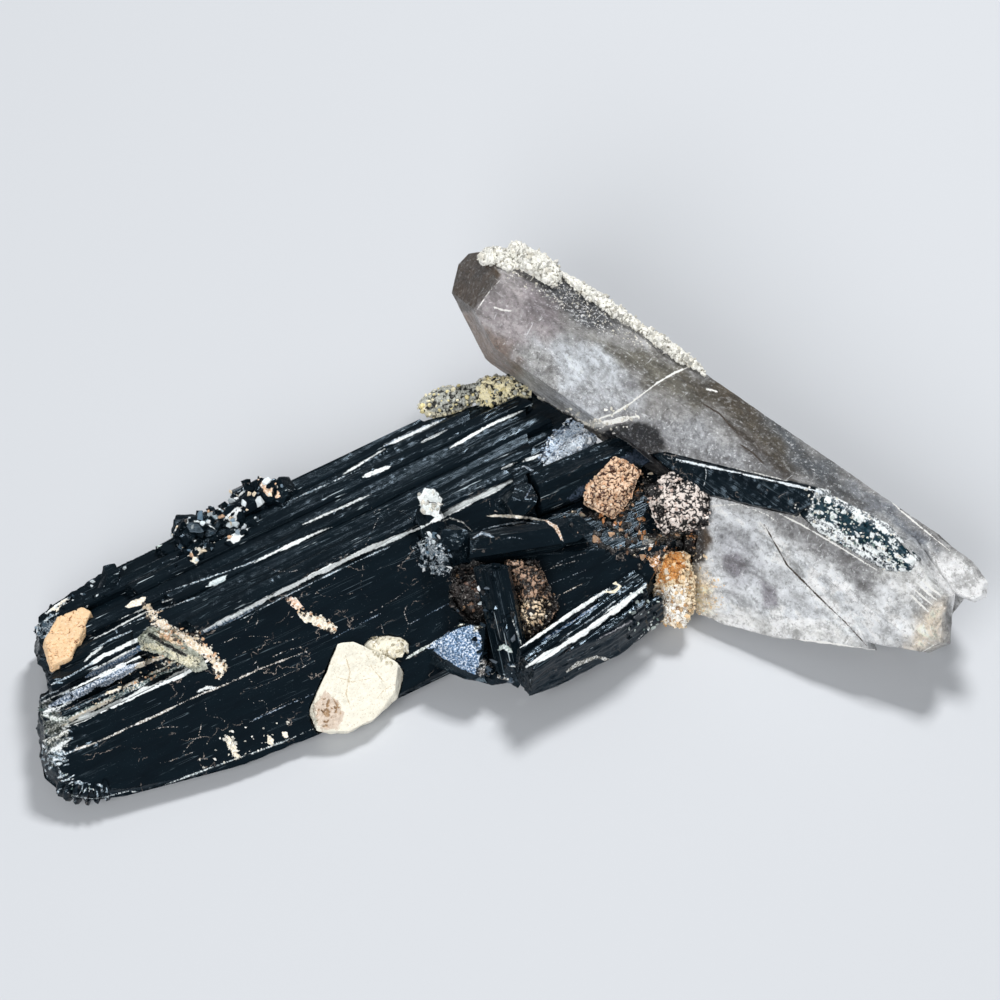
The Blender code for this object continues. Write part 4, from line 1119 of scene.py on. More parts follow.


# What the photograph shows in the quartz: outlines with a tint and how milky the crystal is there

# The tints are partly the crystal's own smoky and milky colour and partly painted light: darker on the upper faces,
# brighter on the front lobes.
QUARTZ_ZONES = (
    # outline, tint, milkiness, frosting, softness
    ([(500, 275), (560, 300), (560, 340), (520, 352), (478, 330), (473, 312)], srgb(212, 203, 207), 0.65, 0.05, 9.0),
    ([(520, 278), (562, 305), (566, 330), (530, 320)], srgb(142, 134, 140), 0.75, 0.1, 8.0),
    ([(505, 262), (545, 262), (600, 300), (618, 326), (590, 330), (548, 300)], srgb(64, 68, 74), 0.85, 0.75, 6.0),
    ([(470, 312), (480, 330), (516, 345), (522, 372), (502, 374), (484, 352)], srgb(150, 130, 120), 0.6, 0.1, 5.0),
    ([(530, 340), (600, 345), (652, 389), (640, 420), (580, 425), (530, 388)], srgb(196, 199, 204), 0.9, 0.55, 8.0),
    ([(556, 340), (620, 350), (618, 386), (560, 384)], srgb(220, 225, 231), 0.95, 0.3, 7.0),
    ([(516, 352), (548, 350), (566, 390), (540, 392)], srgb(176, 176, 176), 0.9, 0.5, 6.0),
    ([(590, 338), (690, 362), (720, 392), (706, 416), (651, 389)], srgb(106, 103, 92), 0.85, 0.3, 5.0),
    ([(678, 368), (755, 398), (800, 470), (786, 482), (740, 430), (700, 402)], srgb(74, 66, 52), 0.9, 0.1, 5.0),
    ([(698, 372), (745, 392), (770, 420), (735, 412)], srgb(70, 60, 44), 0.9, 0.1, 5.0),
    ([(722, 416), (752, 436), (780, 464), (800, 484), (778, 478), (748, 456)], srgb(56, 46, 34), 0.9, 0.0, 2.0),
    ([(759, 407), (814, 446), (850, 480), (880, 520), (840, 500), (790, 466)], srgb(80, 86, 92), 0.85, 0.4, 7.0),
    ([(640, 420), (700, 415), (780, 478), (720, 468), (664, 450)], srgb(170, 172, 176), 0.9, 0.5, 7.0),
    ([(690, 500), (760, 508), (800, 560), (862, 630), (862, 650), (760, 642), (700, 614), (686, 560)],
     srgb(236, 239, 243), 0.95, 0.3, 7.0),
    ([(720, 526), (750, 534), (764, 580), (735, 596), (716, 560)], srgb(204, 206, 212), 0.9, 0.2, 8.0),
    ([(690, 600), (760, 616), (840, 628), (862, 650), (760, 642), (700, 620)], srgb(252, 252, 250), 0.97, 0.5, 5.0),
    ([(764, 524), (842, 552), (900, 580), (920, 640), (870, 645), (790, 565)], srgb(250, 252, 254), 0.97, 0.5, 8.0),
    ([(776, 506), (830, 536), (884, 580), (872, 596), (820, 556), (776, 530)], srgb(150, 150, 152), 0.9, 0.3, 7.0),
    ([(764, 530), (792, 548), (836, 590), (868, 636), (850, 622), (800, 574)], srgb(246, 250, 255), 0.97, 0.7, 5.0),
    ([(850, 480), (920, 530), (984, 590), (960, 606), (915, 565), (880, 520)], srgb(112, 120, 132), 0.9, 0.3, 7.0),
    ([(928, 548), (958, 550), (994, 582), (992, 614), (956, 610), (940, 588)], srgb(255, 255, 255), 0.97, 0.6, 4.0),
    ([(915, 612), (945, 604), (940, 645), (905, 654)], srgb(250, 236, 216), 0.92, 0.5, 7.0),
    ([(880, 520), (930, 560), (944, 600), (905, 600), (880, 570)], srgb(240, 240, 238), 0.95, 0.8, 7.0),
    ([(706, 480), (740, 500), (700, 512), (680, 506)], srgb(246, 248, 250), 0.95, 0.6, 4.0),
    ([(668, 534), (704, 526), (712, 544), (700, 560), (676, 560)], srgb(92, 76, 60), 0.97, 0.1, 4.0),
    ([(670, 558), (700, 560), (714, 600), (702, 620), (670, 622)], srgb(246, 222, 184), 0.97, 0.6, 7.0),
    ([(600, 434), (616, 424), (640, 421), (658, 428), (666, 444), (662, 458), (676, 474), (676, 484), (650, 480),
      (620, 456)], srgb(14, 18, 26), 1.0, 0.0, 1.5),
    ([(682, 522), (703, 520), (706, 562), (682, 568)], srgb(44, 36, 30), 1.0, 0.0, 2.0),
    ([(722, 556), (738, 552), (748, 568), (736, 578), (724, 570)], srgb(158, 156, 164), 0.9, 0.1, 2.0),
    ([(760, 580), (776, 588), (778, 606), (764, 608)], srgb(172, 170, 178), 0.9, 0.1, 2.0),
    ([(766, 528), (782, 542), (800, 562), (826, 588), (850, 612), (864, 634), (846, 636), (822, 606), (800, 584),
      (784, 562)], srgb(250, 253, 255), 1.0, 0.6, 2.0),
    ([(446, 246), (490, 250), (502, 275), (486, 294), (472, 313), (450, 312)], srgb(66, 50, 32), 0.94, 0.0, 1.6),
    ([(450, 312), (472, 313), (488, 346), (504, 376), (484, 376), (462, 340)], srgb(150, 124, 106), 0.8, 0.1, 2.0),
)

# Zones at least this crisp keep their outline, and the others wander.
CRISP_EDGE = 2.0

# The lower rim of the lobes, painted with a highlight.
LOWER_RIM = [(697, 614), (720, 625), (760, 636), (790, 640), (815, 641), (840, 645), (862, 649), (872, 650),
             (900, 655), (916, 656), (934, 645)]

# Bright veins, painted highlights along the rims and growth edges, and dark cracks: path and half width in pixels.
BRIGHT_LINES = (
    ([(696, 364), (676, 372), (657, 383), (640, 396), (631, 403), (613, 414), (592, 421)], 1.0),
    ([(502, 277), (486, 296), (474, 315)], 0.6),
    ([(494, 307), (502, 310), (512, 311)], 0.7),
    ([(706, 389), (712, 390), (718, 392)], 1.3),
    ([(760, 522), (772, 538), (784, 554)], 0.7),
    (LOWER_RIM, 1.2),
    ([(913, 588), (924, 598), (934, 606)], 1.0),
    ([(917, 583), (929, 594), (938, 601)], 1.0),
    ([(922, 580), (933, 590), (942, 596)], 1.0),
    ([(910, 594), (920, 604), (930, 613)], 1.0),
    ([(776, 512), (800, 524), (838, 546), (880, 572)], 0.9),
    ([(700, 462), (760, 474), (800, 484)], 0.6),
    ([(766, 402), (800, 430), (860, 470), (900, 510), (950, 551)], 0.8),
    ([(530, 392), (548, 406), (572, 420), (592, 426), (620, 420), (638, 416)], 2.6),
    ([(690, 520), (712, 506), (740, 504), (766, 514), (780, 524)], 0.6),
)
DARK_LINES = (
    ([(739, 444), (752, 452), (764, 464)], 1.1),
    ([(764, 524), (787, 565), (805, 583), (824, 602), (845, 622), (867, 646)], 0.8),
    ([(700, 402), (720, 414), (734, 430)], 1.0),
    ([(502, 277), (490, 289), (478, 305)], 0.7),
)


def quartz_grain(near):
    def wanted(middle, normal):
        reach, short = QUARTZ_MARKS
        length = np.where(normal @ BACK > -0.05, QUARTZ_SEEN, QUARTZ_UNSEEN)
        return np.where((near(pixels(middle)) < reach) & (normal @ BACK > 0), short, length)

    return wanted


def build_quartz(look):
    near = Nearness([line[0] for line in BRIGHT_LINES + DARK_LINES], 3.0)
    points, tris = refine(*node_shell("smoky_quartz"), quartz_grain(near))
    normals = point_normals(points, tris)
    own = POINT.inside(points)
    at = pixels(points)
    lobe = ease(at[:, 1] - 0.45 * (at[:, 0] - 690.0), 480.0, 500.0) * ease(own[:, 0], 12.0, -8.0)
    relief = 0.03 * np.tanh(2 * cloud(own, (0.9, 12.0, 12.0), 41, 2)) + 0.04 * cloud(own, 6.0, 42, 2)
    relief = relief + lobe * (0.14 * cloud(own, 2.2, 43, 3) + 0.06 * cloud(own, 0.8, 44, 2))
    points = points + normals * (relief * ease(points[:, 2], 0.0, 0.8))[:, None]
    paint = Paint(points, normals, 1.0, -0.35)
    wandering = paint.at + 9.0 * np.stack([cloud(points, 3.4, seed, 4, 0.65) for seed in (73, 74)], axis=1)
    paint.rgba[:] = (*srgb(190, 190, 190), 1.0)
    milk = 0.6 + 0.25 * cloud(own, 6.0, 45, 3)
    frost = np.full(len(points), 0.15)
    for outline, colour, milkiness, frosting, soft in QUARTZ_ZONES:
        paint.at = wandering if soft > CRISP_EDGE else paint.plain
        which, cover = paint.cover_of(outline, 1.5 * soft)
        paint.tint(which, cover, colour)
        milk[which] = milk[which] * (1 - cover) + milkiness * cover
        frost[which] = frost[which] * (1 - cover) + frosting * cover
    mottle = 1 + 0.3 * cloud(own, (2.6, 1.4, 1.4), 46, 4, 0.7)
    mottle = mottle + 0.16 * np.tanh(3 * cloud(own, (1.2, 0.6, 0.6), 47, 3))
    paint.rgba[:, :3] = np.clip(paint.rgba[:, :3] * mottle[:, None], 0, 1)
    values = {"lay": own, "marks": paint.rgba, "milk": np.clip(milk, 0, 1), "frost": frost}
    for key, lines in (("bright", BRIGHT_LINES), ("dark", DARK_LINES)):
        values[key] = np.zeros(len(points))
        for path, width in lines:
            which, cover = paint.line_cover(path, width)
            values[key][which] = np.maximum(values[key][which], cover)
    finish_piece("smoky_quartz_crystal", points, tris, look.quartz, ["smoky_quartz"], values, 24.0)


def rim_gap(corners, tris, points):
    """A crust's upward direction, and how far inside its rim each point lies (mm)."""
    across = face_normals(corners, tris)
    unit = across / np.maximum(np.linalg.norm(across, axis=1, keepdims=True), TINY)
    up = across[unit @ BACK > 0.6].sum(axis=0)
    up /= np.linalg.norm(up)
    gap = np.full(len(points), 9.0)
    for normal, corner in zip(unit, corners[tris[:, 0]]):
        if abs(normal @ up) < 0.6 and ((corners - corner) @ normal).max() < 0.05:
            gap = np.minimum(gap, (corner - points) @ normal)
    return up, gap


def crust_piece(name, node, material, size=0.8, height=0.3, seed=0, length=0.16, gap_shade_strength=0.6, wormy=0.0,
                colours=(), sink=0.0, rim=0.0, stain=0.0, swell=0.1, split=(0.08, 0.4)):
    """A crust with real grains: each stands out of the mass, and what lies between them is darkened as painted shade.

    Where it is wormy the grains run together into bright curls, and split says how wide the gaps between the curls
    are. Its ragged rim sinks by sink (mm) and is dark as far as rim says, and stain says how much of it is dark in
    patches.
    """
    shell = node_shell(node)
    points, tris = refine(*shell, lambda middle, normal: np.where(normal @ BACK > -0.3, length, length * 2.5))
    normals = point_normals(points, tris)
    warped = points + 0.3 * size * np.stack([cloud(points, size * 1.4, seed + k, 2) for k in range(3)], axis=1)
    first, second, number = grains(warped, size, seed)
    edge = second - first
    heap = ease(edge, 0.0, 0.35) * (0.5 + 0.8 * number)
    gaps = (1 - ease(edge, 0.04, 0.26)) * (0.5 + 0.5 * ease(number, 0.2, 0.7))
    curl = ease(np.abs(cloud(warped, size * 1.5, seed + 7, 2)), *split)
    heap = heap * (1 - wormy) + curl * wormy
    gaps = gaps * (1 - wormy) + (1 - curl) * wormy
    # Painted shade in the gaps between the grains.
    dark_spots_and_gap_shade = gap_shade_strength * gaps
    dark_spots_and_gap_shade = np.maximum(dark_spots_and_gap_shade, stain * ease(cloud(points, size * 2.2, seed + 8, 3), 0.0, 0.25))
    relief = swell + height * (heap - 0.45) + 0.35 * height * cloud(points, size * 2.5, seed, 2)
    shift = normals * relief[:, None]
    if sink:
        up, gap = rim_gap(*shell, points)
        gap = gap + 1.3 * cloud(points, 1.3, seed + 9, 4, 0.65)
        shift -= up * (sink * (1 - ease(gap, -0.1, 0.9)) * ease(normals @ up, -0.1, 0.4))[:, None]
        dark_spots_and_gap_shade = np.maximum(dark_spots_and_gap_shade, rim * (1 - ease(gap, 0.1, 0.5)))
    points = points + shift * ease(points[:, 2], 0.0, 0.5)[:, None]
    points[:, 2] = np.maximum(points[:, 2], 0.0)
    paint = Paint(points, normals, 1.0)
    for outline, colour, soft, strength in colours:
        paint.patch(outline, colour, soft, strength)
    finish_piece(name, points, tris, material, [node], {"marks": paint.rgba, "dark_spots_and_gap_shade": dark_spots_and_gap_shade}, 50.0)


GAP_MIDDLE = np.array((22.8, 0.3, 6.4))
GAP_RADII = np.array((1.05, 2.6, 3.0))


def build_gap_rubble(look):
    """A lump of dark rubble that closes the gap between the blade's end, the crusts and the quartz lobe."""
    corners = np.concatenate([np.eye(3), -np.eye(3)])
    tris = np.array([(0, 1, 2), (1, 3, 2), (3, 4, 2), (4, 0, 2), (1, 0, 5), (3, 1, 5), (4, 3, 5), (0, 4, 5)])
    points, tris = refine(corners, tris, lambda middle, normal: np.full(len(middle), 0.1))
    away = points / np.linalg.norm(points, axis=1, keepdims=True)
    points = GAP_MIDDLE + GAP_RADII * away * (1 + 0.16 * cloud(away, 0.3, 88, 3))[:, None]
    dark_spots_and_gap_shade = ease(cloud(points, 0.7, 89, 3), -0.1, 0.4)
    finish_piece("rubble_in_the_gap", points, tris, look.brown, (),
                 {"marks": np.zeros((len(points), 4)), "dark_spots_and_gap_shade": dark_spots_and_gap_shade})


EDGE_TONES = (
    ([(415, 392), (440, 378), (486, 380), (480, 406), (440, 414), (421, 406)], srgb(182, 184, 176), 6.0, 1.0),
    ([(482, 380), (535, 370), (538, 398), (505, 414), (476, 408)], srgb(252, 242, 202), 6.0, 1.0),
)

RUSTY_TONES = (
    ([(646, 552), (686, 548), (688, 566), (672, 582), (646, 584)], srgb(216, 156, 88), 12.0, 1.0),
    ([(652, 588), (686, 584), (690, 636), (660, 640), (646, 622)], srgb(255, 253, 246), 8.0, 1.0),
)

TROUGH_TONES = (
    ([(118, 668), (138, 640), (160, 646), (198, 656), (204, 668), (176, 680), (140, 690)], srgb(236, 232, 210), 9.0,
     1.0),
    ([(142, 602), (158, 602), (180, 620), (206, 632), (228, 658), (230, 682), (214, 680), (204, 658), (184, 648),
      (160, 638)], srgb(250, 230, 202), 5.0, 1.0),
    ([(149, 632), (166, 643), (188, 654), (186, 657), (164, 647), (147, 636)], srgb(20, 26, 26), 1.5, 1.0),
)

LEFT_RUBBLE_TONES = (
    ([(452, 560), (470, 556), (488, 566), (486, 592), (466, 590)], srgb(96, 68, 54), 12.0, 1.0),
)

RIGHT_RUBBLE_TONES = (
    ([(516, 600), (560, 596), (566, 612), (548, 628), (516, 646)], srgb(250, 228, 196), 7.0, 1.0),
)


def build_crusts(look):
    crust_piece("tan_feldspar_left", "feldspar_tan_left", look.tan, 0.27, 0.3, 3, 0.11, 0.75, 0.9, (), 0.8, 0.25,
                0.0, 0.1, (0.08, 0.42))
    crust_piece("tan_feldspar_right", "feldspar_tan_right", look.pinkish, 0.27, 0.3, 13, 0.11, 0.95, 0.75, (),
                0.8, 0.7, 0.0, 0.1, (0.12, 0.5))
    crust_piece("rubble_beside_prism_left", "rubble_left", look.brown, 0.7, 0.6, 23, 0.15, 1.0, 0.5,
                LEFT_RUBBLE_TONES, 2.4, 1.0, 1.0)
    crust_piece("rubble_beside_prism_right", "rubble_right", look.ochre, 0.28, 0.4, 33, 0.12, 0.9, 0.8,
                RIGHT_RUBBLE_TONES, 1.4, 0.7, 0.5, 0.1, (0.1, 0.5))
    crust_piece("rusty_crust", "orange_crust", look.rusty, 0.5, 0.4, 43, 0.14, 0.7, 0.3, RUSTY_TONES, 0.8, 0.2,
                0.3, 0.3)
    crust_piece("quartz_tip_crust", "quartz_crust", look.white, 0.6, 0.35, 53, 0.17, 0.7, 0.3)
    crust_piece("bubbly_edge_crust", "edge_crust", look.yellow, 0.42, 0.4, 63, 0.14, 0.8, 0.6, EDGE_TONES)
    crust_piece("contact_grains", "contact_crust", look.bluish, 0.4, 0.3, 73, 0.14, 0.7, 0.3, (), 0.8, 0.3)
    crust_piece("trough_rubble", "trough_crust", look.cream, 0.34, 0.4, 83, 0.13, 0.6, 0.4,
                TROUGH_TONES, 1.2, 0.3)
    build_gap_rubble(look)
    crust_piece("tan_patch_crust", "tan_patch", look.tan_smooth, 0.5, 0.2, 93, 0.14, 0.7, 0.95,
                split=(0.0, 0.12))


FELDSPAR_CREASES = (
    [(344, 650), (350, 672), (346, 694), (352, 712)],
    [(366, 652), (372, 668), (384, 682)],
    [(334, 676), (352, 682), (372, 678)],
    [(376, 700), (384, 690), (394, 684)],
)


def build_feldspar(look):
    points, tris = refine(*node_shell("feldspar"), lambda middle, normal: np.where(normal @ BACK > -0.1, 0.26, 0.6))
    normals = point_normals(points, tris)
    own = BLADE.inside(points)
    relief = 0.16 * cloud(own, (3.2, 2.0, 2.0), 51, 4, 0.6) + 0.1 * np.tanh(3 * cloud(own, (1.6, 4.0, 4.0), 52, 2))
    at = pixels(points)
    pitted = ease(-np.linalg.norm(at - np.array((326.0, 712.0)), axis=1), -22.0, -10.0)
    number = grains(own + 0.3 * cloud(own, 0.6, 56, 2)[:, None], 0.42, 55)[2]
    relief = relief - pitted * 0.3 * (1 - ease(number, 0.1, 0.7))
    points = points + normals * (relief * ease(points[:, 2], 0.0, 0.5))[:, None]
    points[:, 2] = np.maximum(points[:, 2], 0.0)
    # Painted shade: darker in the sunken grains of the pitted corner and wherever the surface is pushed in.
    dark_spots_and_gap_shade = np.clip(0.75 * pitted * (1 - ease(number, 0.1, 0.5)) + 0.35 * ease(-relief, 0.12, 0.3), 0, 1)
    paint = Paint(points, normals, 1.5)
    for path in FELDSPAR_CREASES:
        paint.stroke(path, 0.7, srgb(206, 190, 160))
    paint.patch([(316, 700), (326, 690), (338, 702), (344, 716), (338, 728), (322, 732), (314, 716)],
                srgb(216, 198, 180), 9.0)
    paint.patch([(368, 636), (422, 634), (424, 668), (404, 670), (394, 660), (372, 650)], srgb(244, 238, 218), 5.0)
    finish_piece("cream_feldspar", points, tris, look.cream_crystal, ["feldspar"],
                 {"marks": paint.rgba, "dark_spots_and_gap_shade": dark_spots_and_gap_shade}, 40.0)


# Chips, grains and splinters scattered over the pieces: where they lie, how many, how large, and their colours

GLASSY = ((10, 14, 16, 0.0), (12, 16, 18, 0.0), (10, 14, 16, 0.0), (120, 146, 166, 1.0), (226, 236, 240, 1.0))
SPECKLED = ((18, 26, 26, 0.0), (120, 142, 134, 0.9), (214, 226, 220, 1.0))
PALE = ((232, 228, 216, 1.0), (200, 198, 190, 1.0), (246, 244, 238, 1.0))
CREAMY = ((240, 222, 194, 1.0), (226, 184, 148, 1.0), (70, 62, 56, 1.0), (250, 244, 230, 1.0))
RUSTY = ((240, 206, 160, 1.0), (216, 170, 118, 1.0), (250, 236, 214, 1.0), (244, 226, 194, 1.0))
BROWN = ((126, 96, 76, 1.0), (50, 40, 38, 1.0), (186, 150, 118, 1.0), (24, 22, 24, 1.0), (30, 28, 30, 1.0))
YELLOWISH = ((244, 230, 172, 1.0), (255, 246, 212, 1.0), (200, 202, 192, 1.0), (30, 34, 30, 1.0))
BLACKISH = ((10, 14, 18, 0.0), (14, 20, 26, 0.0), (18, 24, 30, 0.0), (74, 88, 102, 0.9))

CHIP_FIELDS = (
    # name, piece, outline, count, smallest and largest (mm), squash, colours, finish, roundness, sides
    ("edge_chips", "aegirine_blade_crystal", [(168, 530), (215, 497), (258, 474), (284, 486), (262, 520), (215, 556),
     (176, 566)], 130, (0.25, 0.8), 0.7, GLASSY, "aegirine"),
    ("edge_pale_bits", "aegirine_blade_crystal", [(168, 530), (215, 497), (258, 474), (284, 486), (262, 520),
     (215, 550), (176, 560)], 45, (0.2, 0.5), 0.6, CREAMY, "cream"),
    ("knob_flakes", "aegirine_blade_crystal",
     [(412, 542), (430, 530), (452, 545), (452, 577), (430, 577), (414, 562)],
     60, (0.25, 0.6), 0.45, GLASSY, "aegirine"),
    ("knob_head_grains", "aegirine_blade_crystal", [(416, 498), (424, 490), (434, 490), (441, 500), (437, 514),
     (424, 513)], 24, (0.2, 0.5), 0.7, PALE, "white"),
    ("middle_chips", "aegirine_blade_crystal",
     [(450, 560), (500, 560), (515, 620), (525, 690), (480, 675), (455, 610)],
     70, (0.25, 0.7), 0.7, BLACKISH, "aegirine"),
    ("middle_fillings", "aegirine_blade_crystal", [(588, 516), (620, 484), (650, 478), (694, 524), (686, 562),
     (640, 568), (594, 550)], 330, (0.2, 0.7), 0.5, BROWN + ((14, 16, 18, 1.0),) * 6 + ((196, 134, 84, 1.0),),
     "brown"),
    ("crust_spill", "smoky_quartz_crystal", [(690, 552), (712, 556), (726, 590), (718, 616), (694, 624)], 130,
     (0.1, 0.28), 0.5, ((250, 240, 222, 1.0), (240, 214, 176, 1.0), (232, 232, 230, 1.0)), "cream"),
    ("knob_rim_bits", "aegirine_blade_crystal", [(446, 570), (490, 586), (490, 606), (456, 606)], 26, (0.2, 0.5), 0.6,
     GLASSY, "aegirine"),
    ("trough_grains", "trough_rubble", [(142, 600), (158, 600), (182, 620), (208, 632), (230, 658), (230, 684),
     (212, 680), (202, 658), (182, 648), (158, 636)], 110, (0.14, 0.4), 0.6, CREAMY,
     "cream"),
    ("band_grains", "aegirine_blade_crystal", [(142, 604), (156, 604), (176, 622), (204, 634), (228, 660), (228, 680),
     (216, 680), (208, 656), (186, 648), (160, 638), (146, 622)], 150, (0.12, 0.36), 0.7, CREAMY, "cream"),
    ("tip_crust_filling", "smoky_quartz_crystal", [(486, 250), (500, 246), (540, 250), (552, 268), (520, 270),
     (492, 266)], 110, (0.2, 0.5), 0.8, PALE, "white"),
    ("tan_surroundings", "aegirine_blade_crystal", [(580, 470), (660, 450), (716, 480), (716, 540), (640, 560),
     (560, 530)], 90, (0.12, 0.36), 0.5, CREAMY + BROWN + BLACKISH, "ochre"),
    ("contact_line_grains", "smoky_quartz_crystal", [(536, 394), (560, 404), (585, 414), (632, 404), (646, 420),
     (600, 440), (560, 424)], 150, (0.12, 0.32), 0.7, PALE, "white"),
    ("tail_grains", "aegirine_sliver_crystal", [(806, 486), (840, 498), (884, 522), (914, 556), (904, 578),
     (872, 578), (836, 556), (796, 534), (790, 510)], 120, (0.12, 0.3), 0.6, PALE, "white"),
    ("trough_floor_grains", "aegirine_blade_crystal", [(136, 666), (160, 650), (196, 658), (160, 676), (110, 702),
     (90, 708)], 110, (0.1, 0.28), 0.6, CREAMY, "cream"),
    ("tip_crust_grains", "quartz_tip_crust", [(440, 230), (720, 230), (720, 400), (440, 400)], 420, (0.15, 0.42), 0.8,
     PALE, "white"),
    ("tip_frost", "smoky_quartz_crystal", [(490, 256), (545, 256), (605, 296), (668, 350), (640, 350), (600, 332),
     (548, 300), (504, 276)], 340, (0.08, 0.2), 0.6, PALE, "white"),
    ("edge_crust_bubbles", "bubbly_edge_crust",
     [(400, 360), (560, 360), (560, 430), (400, 430)], 200, (0.18, 0.42), 0.9,
     YELLOWISH, "yellow", 0.3, 0),
    ("contact_bits", "aegirine_blade_crystal", [(536, 464), (546, 436), (575, 410), (606, 422), (598, 440),
     (566, 462)], 260, (0.1, 0.3), 0.6, ((176, 194, 216, 1.0), (240, 244, 248, 1.0), (60, 76, 98, 1.0)), "bluish"),
    ("contact_pale", "contact_grains", [(540, 400), (610, 400), (610, 470), (540, 470)], 120, (0.1, 0.3), 0.6,
     ((200, 214, 230, 1.0), (244, 246, 248, 1.0), (90, 104, 124, 1.0)), "bluish"),
    ("blade_cream_bits", "aegirine_blade_crystal", [(286, 599), (294, 596), (304, 609), (326, 618), (338, 628),
     (332, 634), (314, 626), (298, 614)], 60, (0.12, 0.34), 0.6, CREAMY, "cream"),
    ("low_cream_bits", "aegirine_blade_crystal", [(222, 736), (232, 735), (238, 748), (242, 762), (234, 758)], 34,
     (0.1, 0.3), 0.6, PALE, "white"),
    ("tan_left_curls", "tan_feldspar_left", [(570, 440), (650, 440), (650, 530), (570, 530)], 130, (0.14, 0.3), 0.8,
     ((240, 204, 168, 1.0), (214, 166, 128, 1.0), (250, 232, 210, 1.0)), "tan", 1.8, 0),
    ("tan_right_curls", "tan_feldspar_right", [(640, 460), (720, 460), (720, 540), (640, 540)], 140, (0.14, 0.3), 0.8,
     ((232, 214, 204, 1.0), (206, 180, 168, 1.0), (250, 240, 232, 1.0)), "pinkish", 1.8, 0),
    ("left_rubble_bits", "rubble_beside_prism_left", [(440, 550), (520, 550), (520, 640), (440, 640)], 80, (0.2, 0.6),
     0.6, BROWN + BLACKISH, "brown"),
    ("right_rubble_bits", "rubble_beside_prism_right", [(490, 600), (580, 600), (580, 650), (490, 650)], 60,
     (0.14, 0.36), 0.6, CREAMY, "ochre"),
    ("right_rubble_dark_bits", "rubble_beside_prism_right", [(490, 550), (580, 550), (580, 604), (490, 604)], 60,
     (0.14, 0.4), 0.5, BROWN, "ochre"),
    ("rusty_bits", "rusty_crust", [(640, 550), (690, 550), (690, 640), (640, 640)], 110, (0.15, 0.45), 0.7, RUSTY,
     "rusty"),
    ("front_splinters", "aegirine_front_crystal", [(628, 580), (670, 580), (670, 622), (650, 634), (628, 650)], 44,
     (0.16, 0.34), 0.7, SPECKLED, "aegirine", 0.4, 5),
    ("feldspar_foot_grains", "cream_feldspar", [(368, 632), (424, 632), (424, 670), (394, 668), (372, 652)], 80,
     (0.15, 0.4), 0.7, ((240, 234, 214, 1.0), (196, 186, 160, 1.0), (254, 250, 238, 1.0)), "cream"),
    ("lower_edge_specks", "aegirine_blade_crystal", [(196, 740), (290, 715), (300, 728), (250, 758), (200, 770)], 40,
     (0.1, 0.26), 0.6, PALE, "white"),
    ("end_glints", "aegirine_blade_crystal", [(36, 704), (60, 700), (74, 730), (66, 762), (110, 790), (70, 798),
     (48, 760)], 70, (0.1, 0.24), 0.5, SPECKLED, "aegirine"),
    ("left_nub_chips", "aegirine_blade_crystal", [(34, 632), (60, 592), (105, 570), (130, 560), (110, 596), (60, 612),
     (50, 640)], 90, (0.15, 0.45), 0.6, GLASSY, "aegirine"),
    ("sliver_specks", "aegirine_sliver_crystal", [(821, 496), (840, 508), (881, 529), (909, 558), (904, 570),
     (879, 570), (842, 547), (806, 529)], 120, (0.12, 0.34), 0.6, SPECKLED, "aegirine"),
    ("gap_bits", "rubble_in_the_gap", [(680, 518), (704, 518), (704, 568), (680, 568)], 60, (0.15, 0.42), 0.6,
     BROWN + ((196, 134, 84, 1.0),), "brown"),
)


def scatter_chips(look, seed, name, piece, outline, count, sizes, squash, colours, finish, roundness=2.2, sides=0):
    """Sets chips on what the outline shows of a piece. Those with sides lie nearly flat, the others lie anyhow."""
    rng = np.random.default_rng(seed)
    points, normals = SURFACES[piece]
    free = np.nonzero(within(outline, pixels(points)) & (normals @ BACK > 0.15))[0]
    chosen = rng.choice(free, min(count, len(free)), replace=False)
    size = rng.uniform(*sizes, (len(chosen), 1)) * rng.uniform(0.45, 1.1, (len(chosen), 3))
    size[:, 2] *= squash
    spots = points[chosen] + normals[chosen] * size[:, 2:] * 0.25
    turns = rng.uniform(-math.pi, math.pi, (len(chosen), 3))
    if sides:
        turns[:, 0] = math.pi / 2 + turns[:, 0] * 0.12
    picked = np.array(colours, float)[rng.integers(len(colours), size=len(chosen))]
    shade = np.array([(*srgb(*row[:3]), row[3]) for row in picked])
    shade[:, :3] *= rng.uniform(0.75, 1.1, (len(chosen), 1))
    values = {"turn": turns, "size": size, "marks": shade, "lay": rng.uniform(0, 90, (len(chosen), 3))}
    slot = "aegirine" if finish == "aegirine" else "pale_crust"
    chips_on(name, spots, values, getattr(look, finish), roundness, sides)


def build_chips(look):
    for seed, field in enumerate(CHIP_FIELDS):
        scatter_chips(look, seed, *field)


class Look:
    """The finishes, made once and shared by the pieces."""


LOOK = Look()


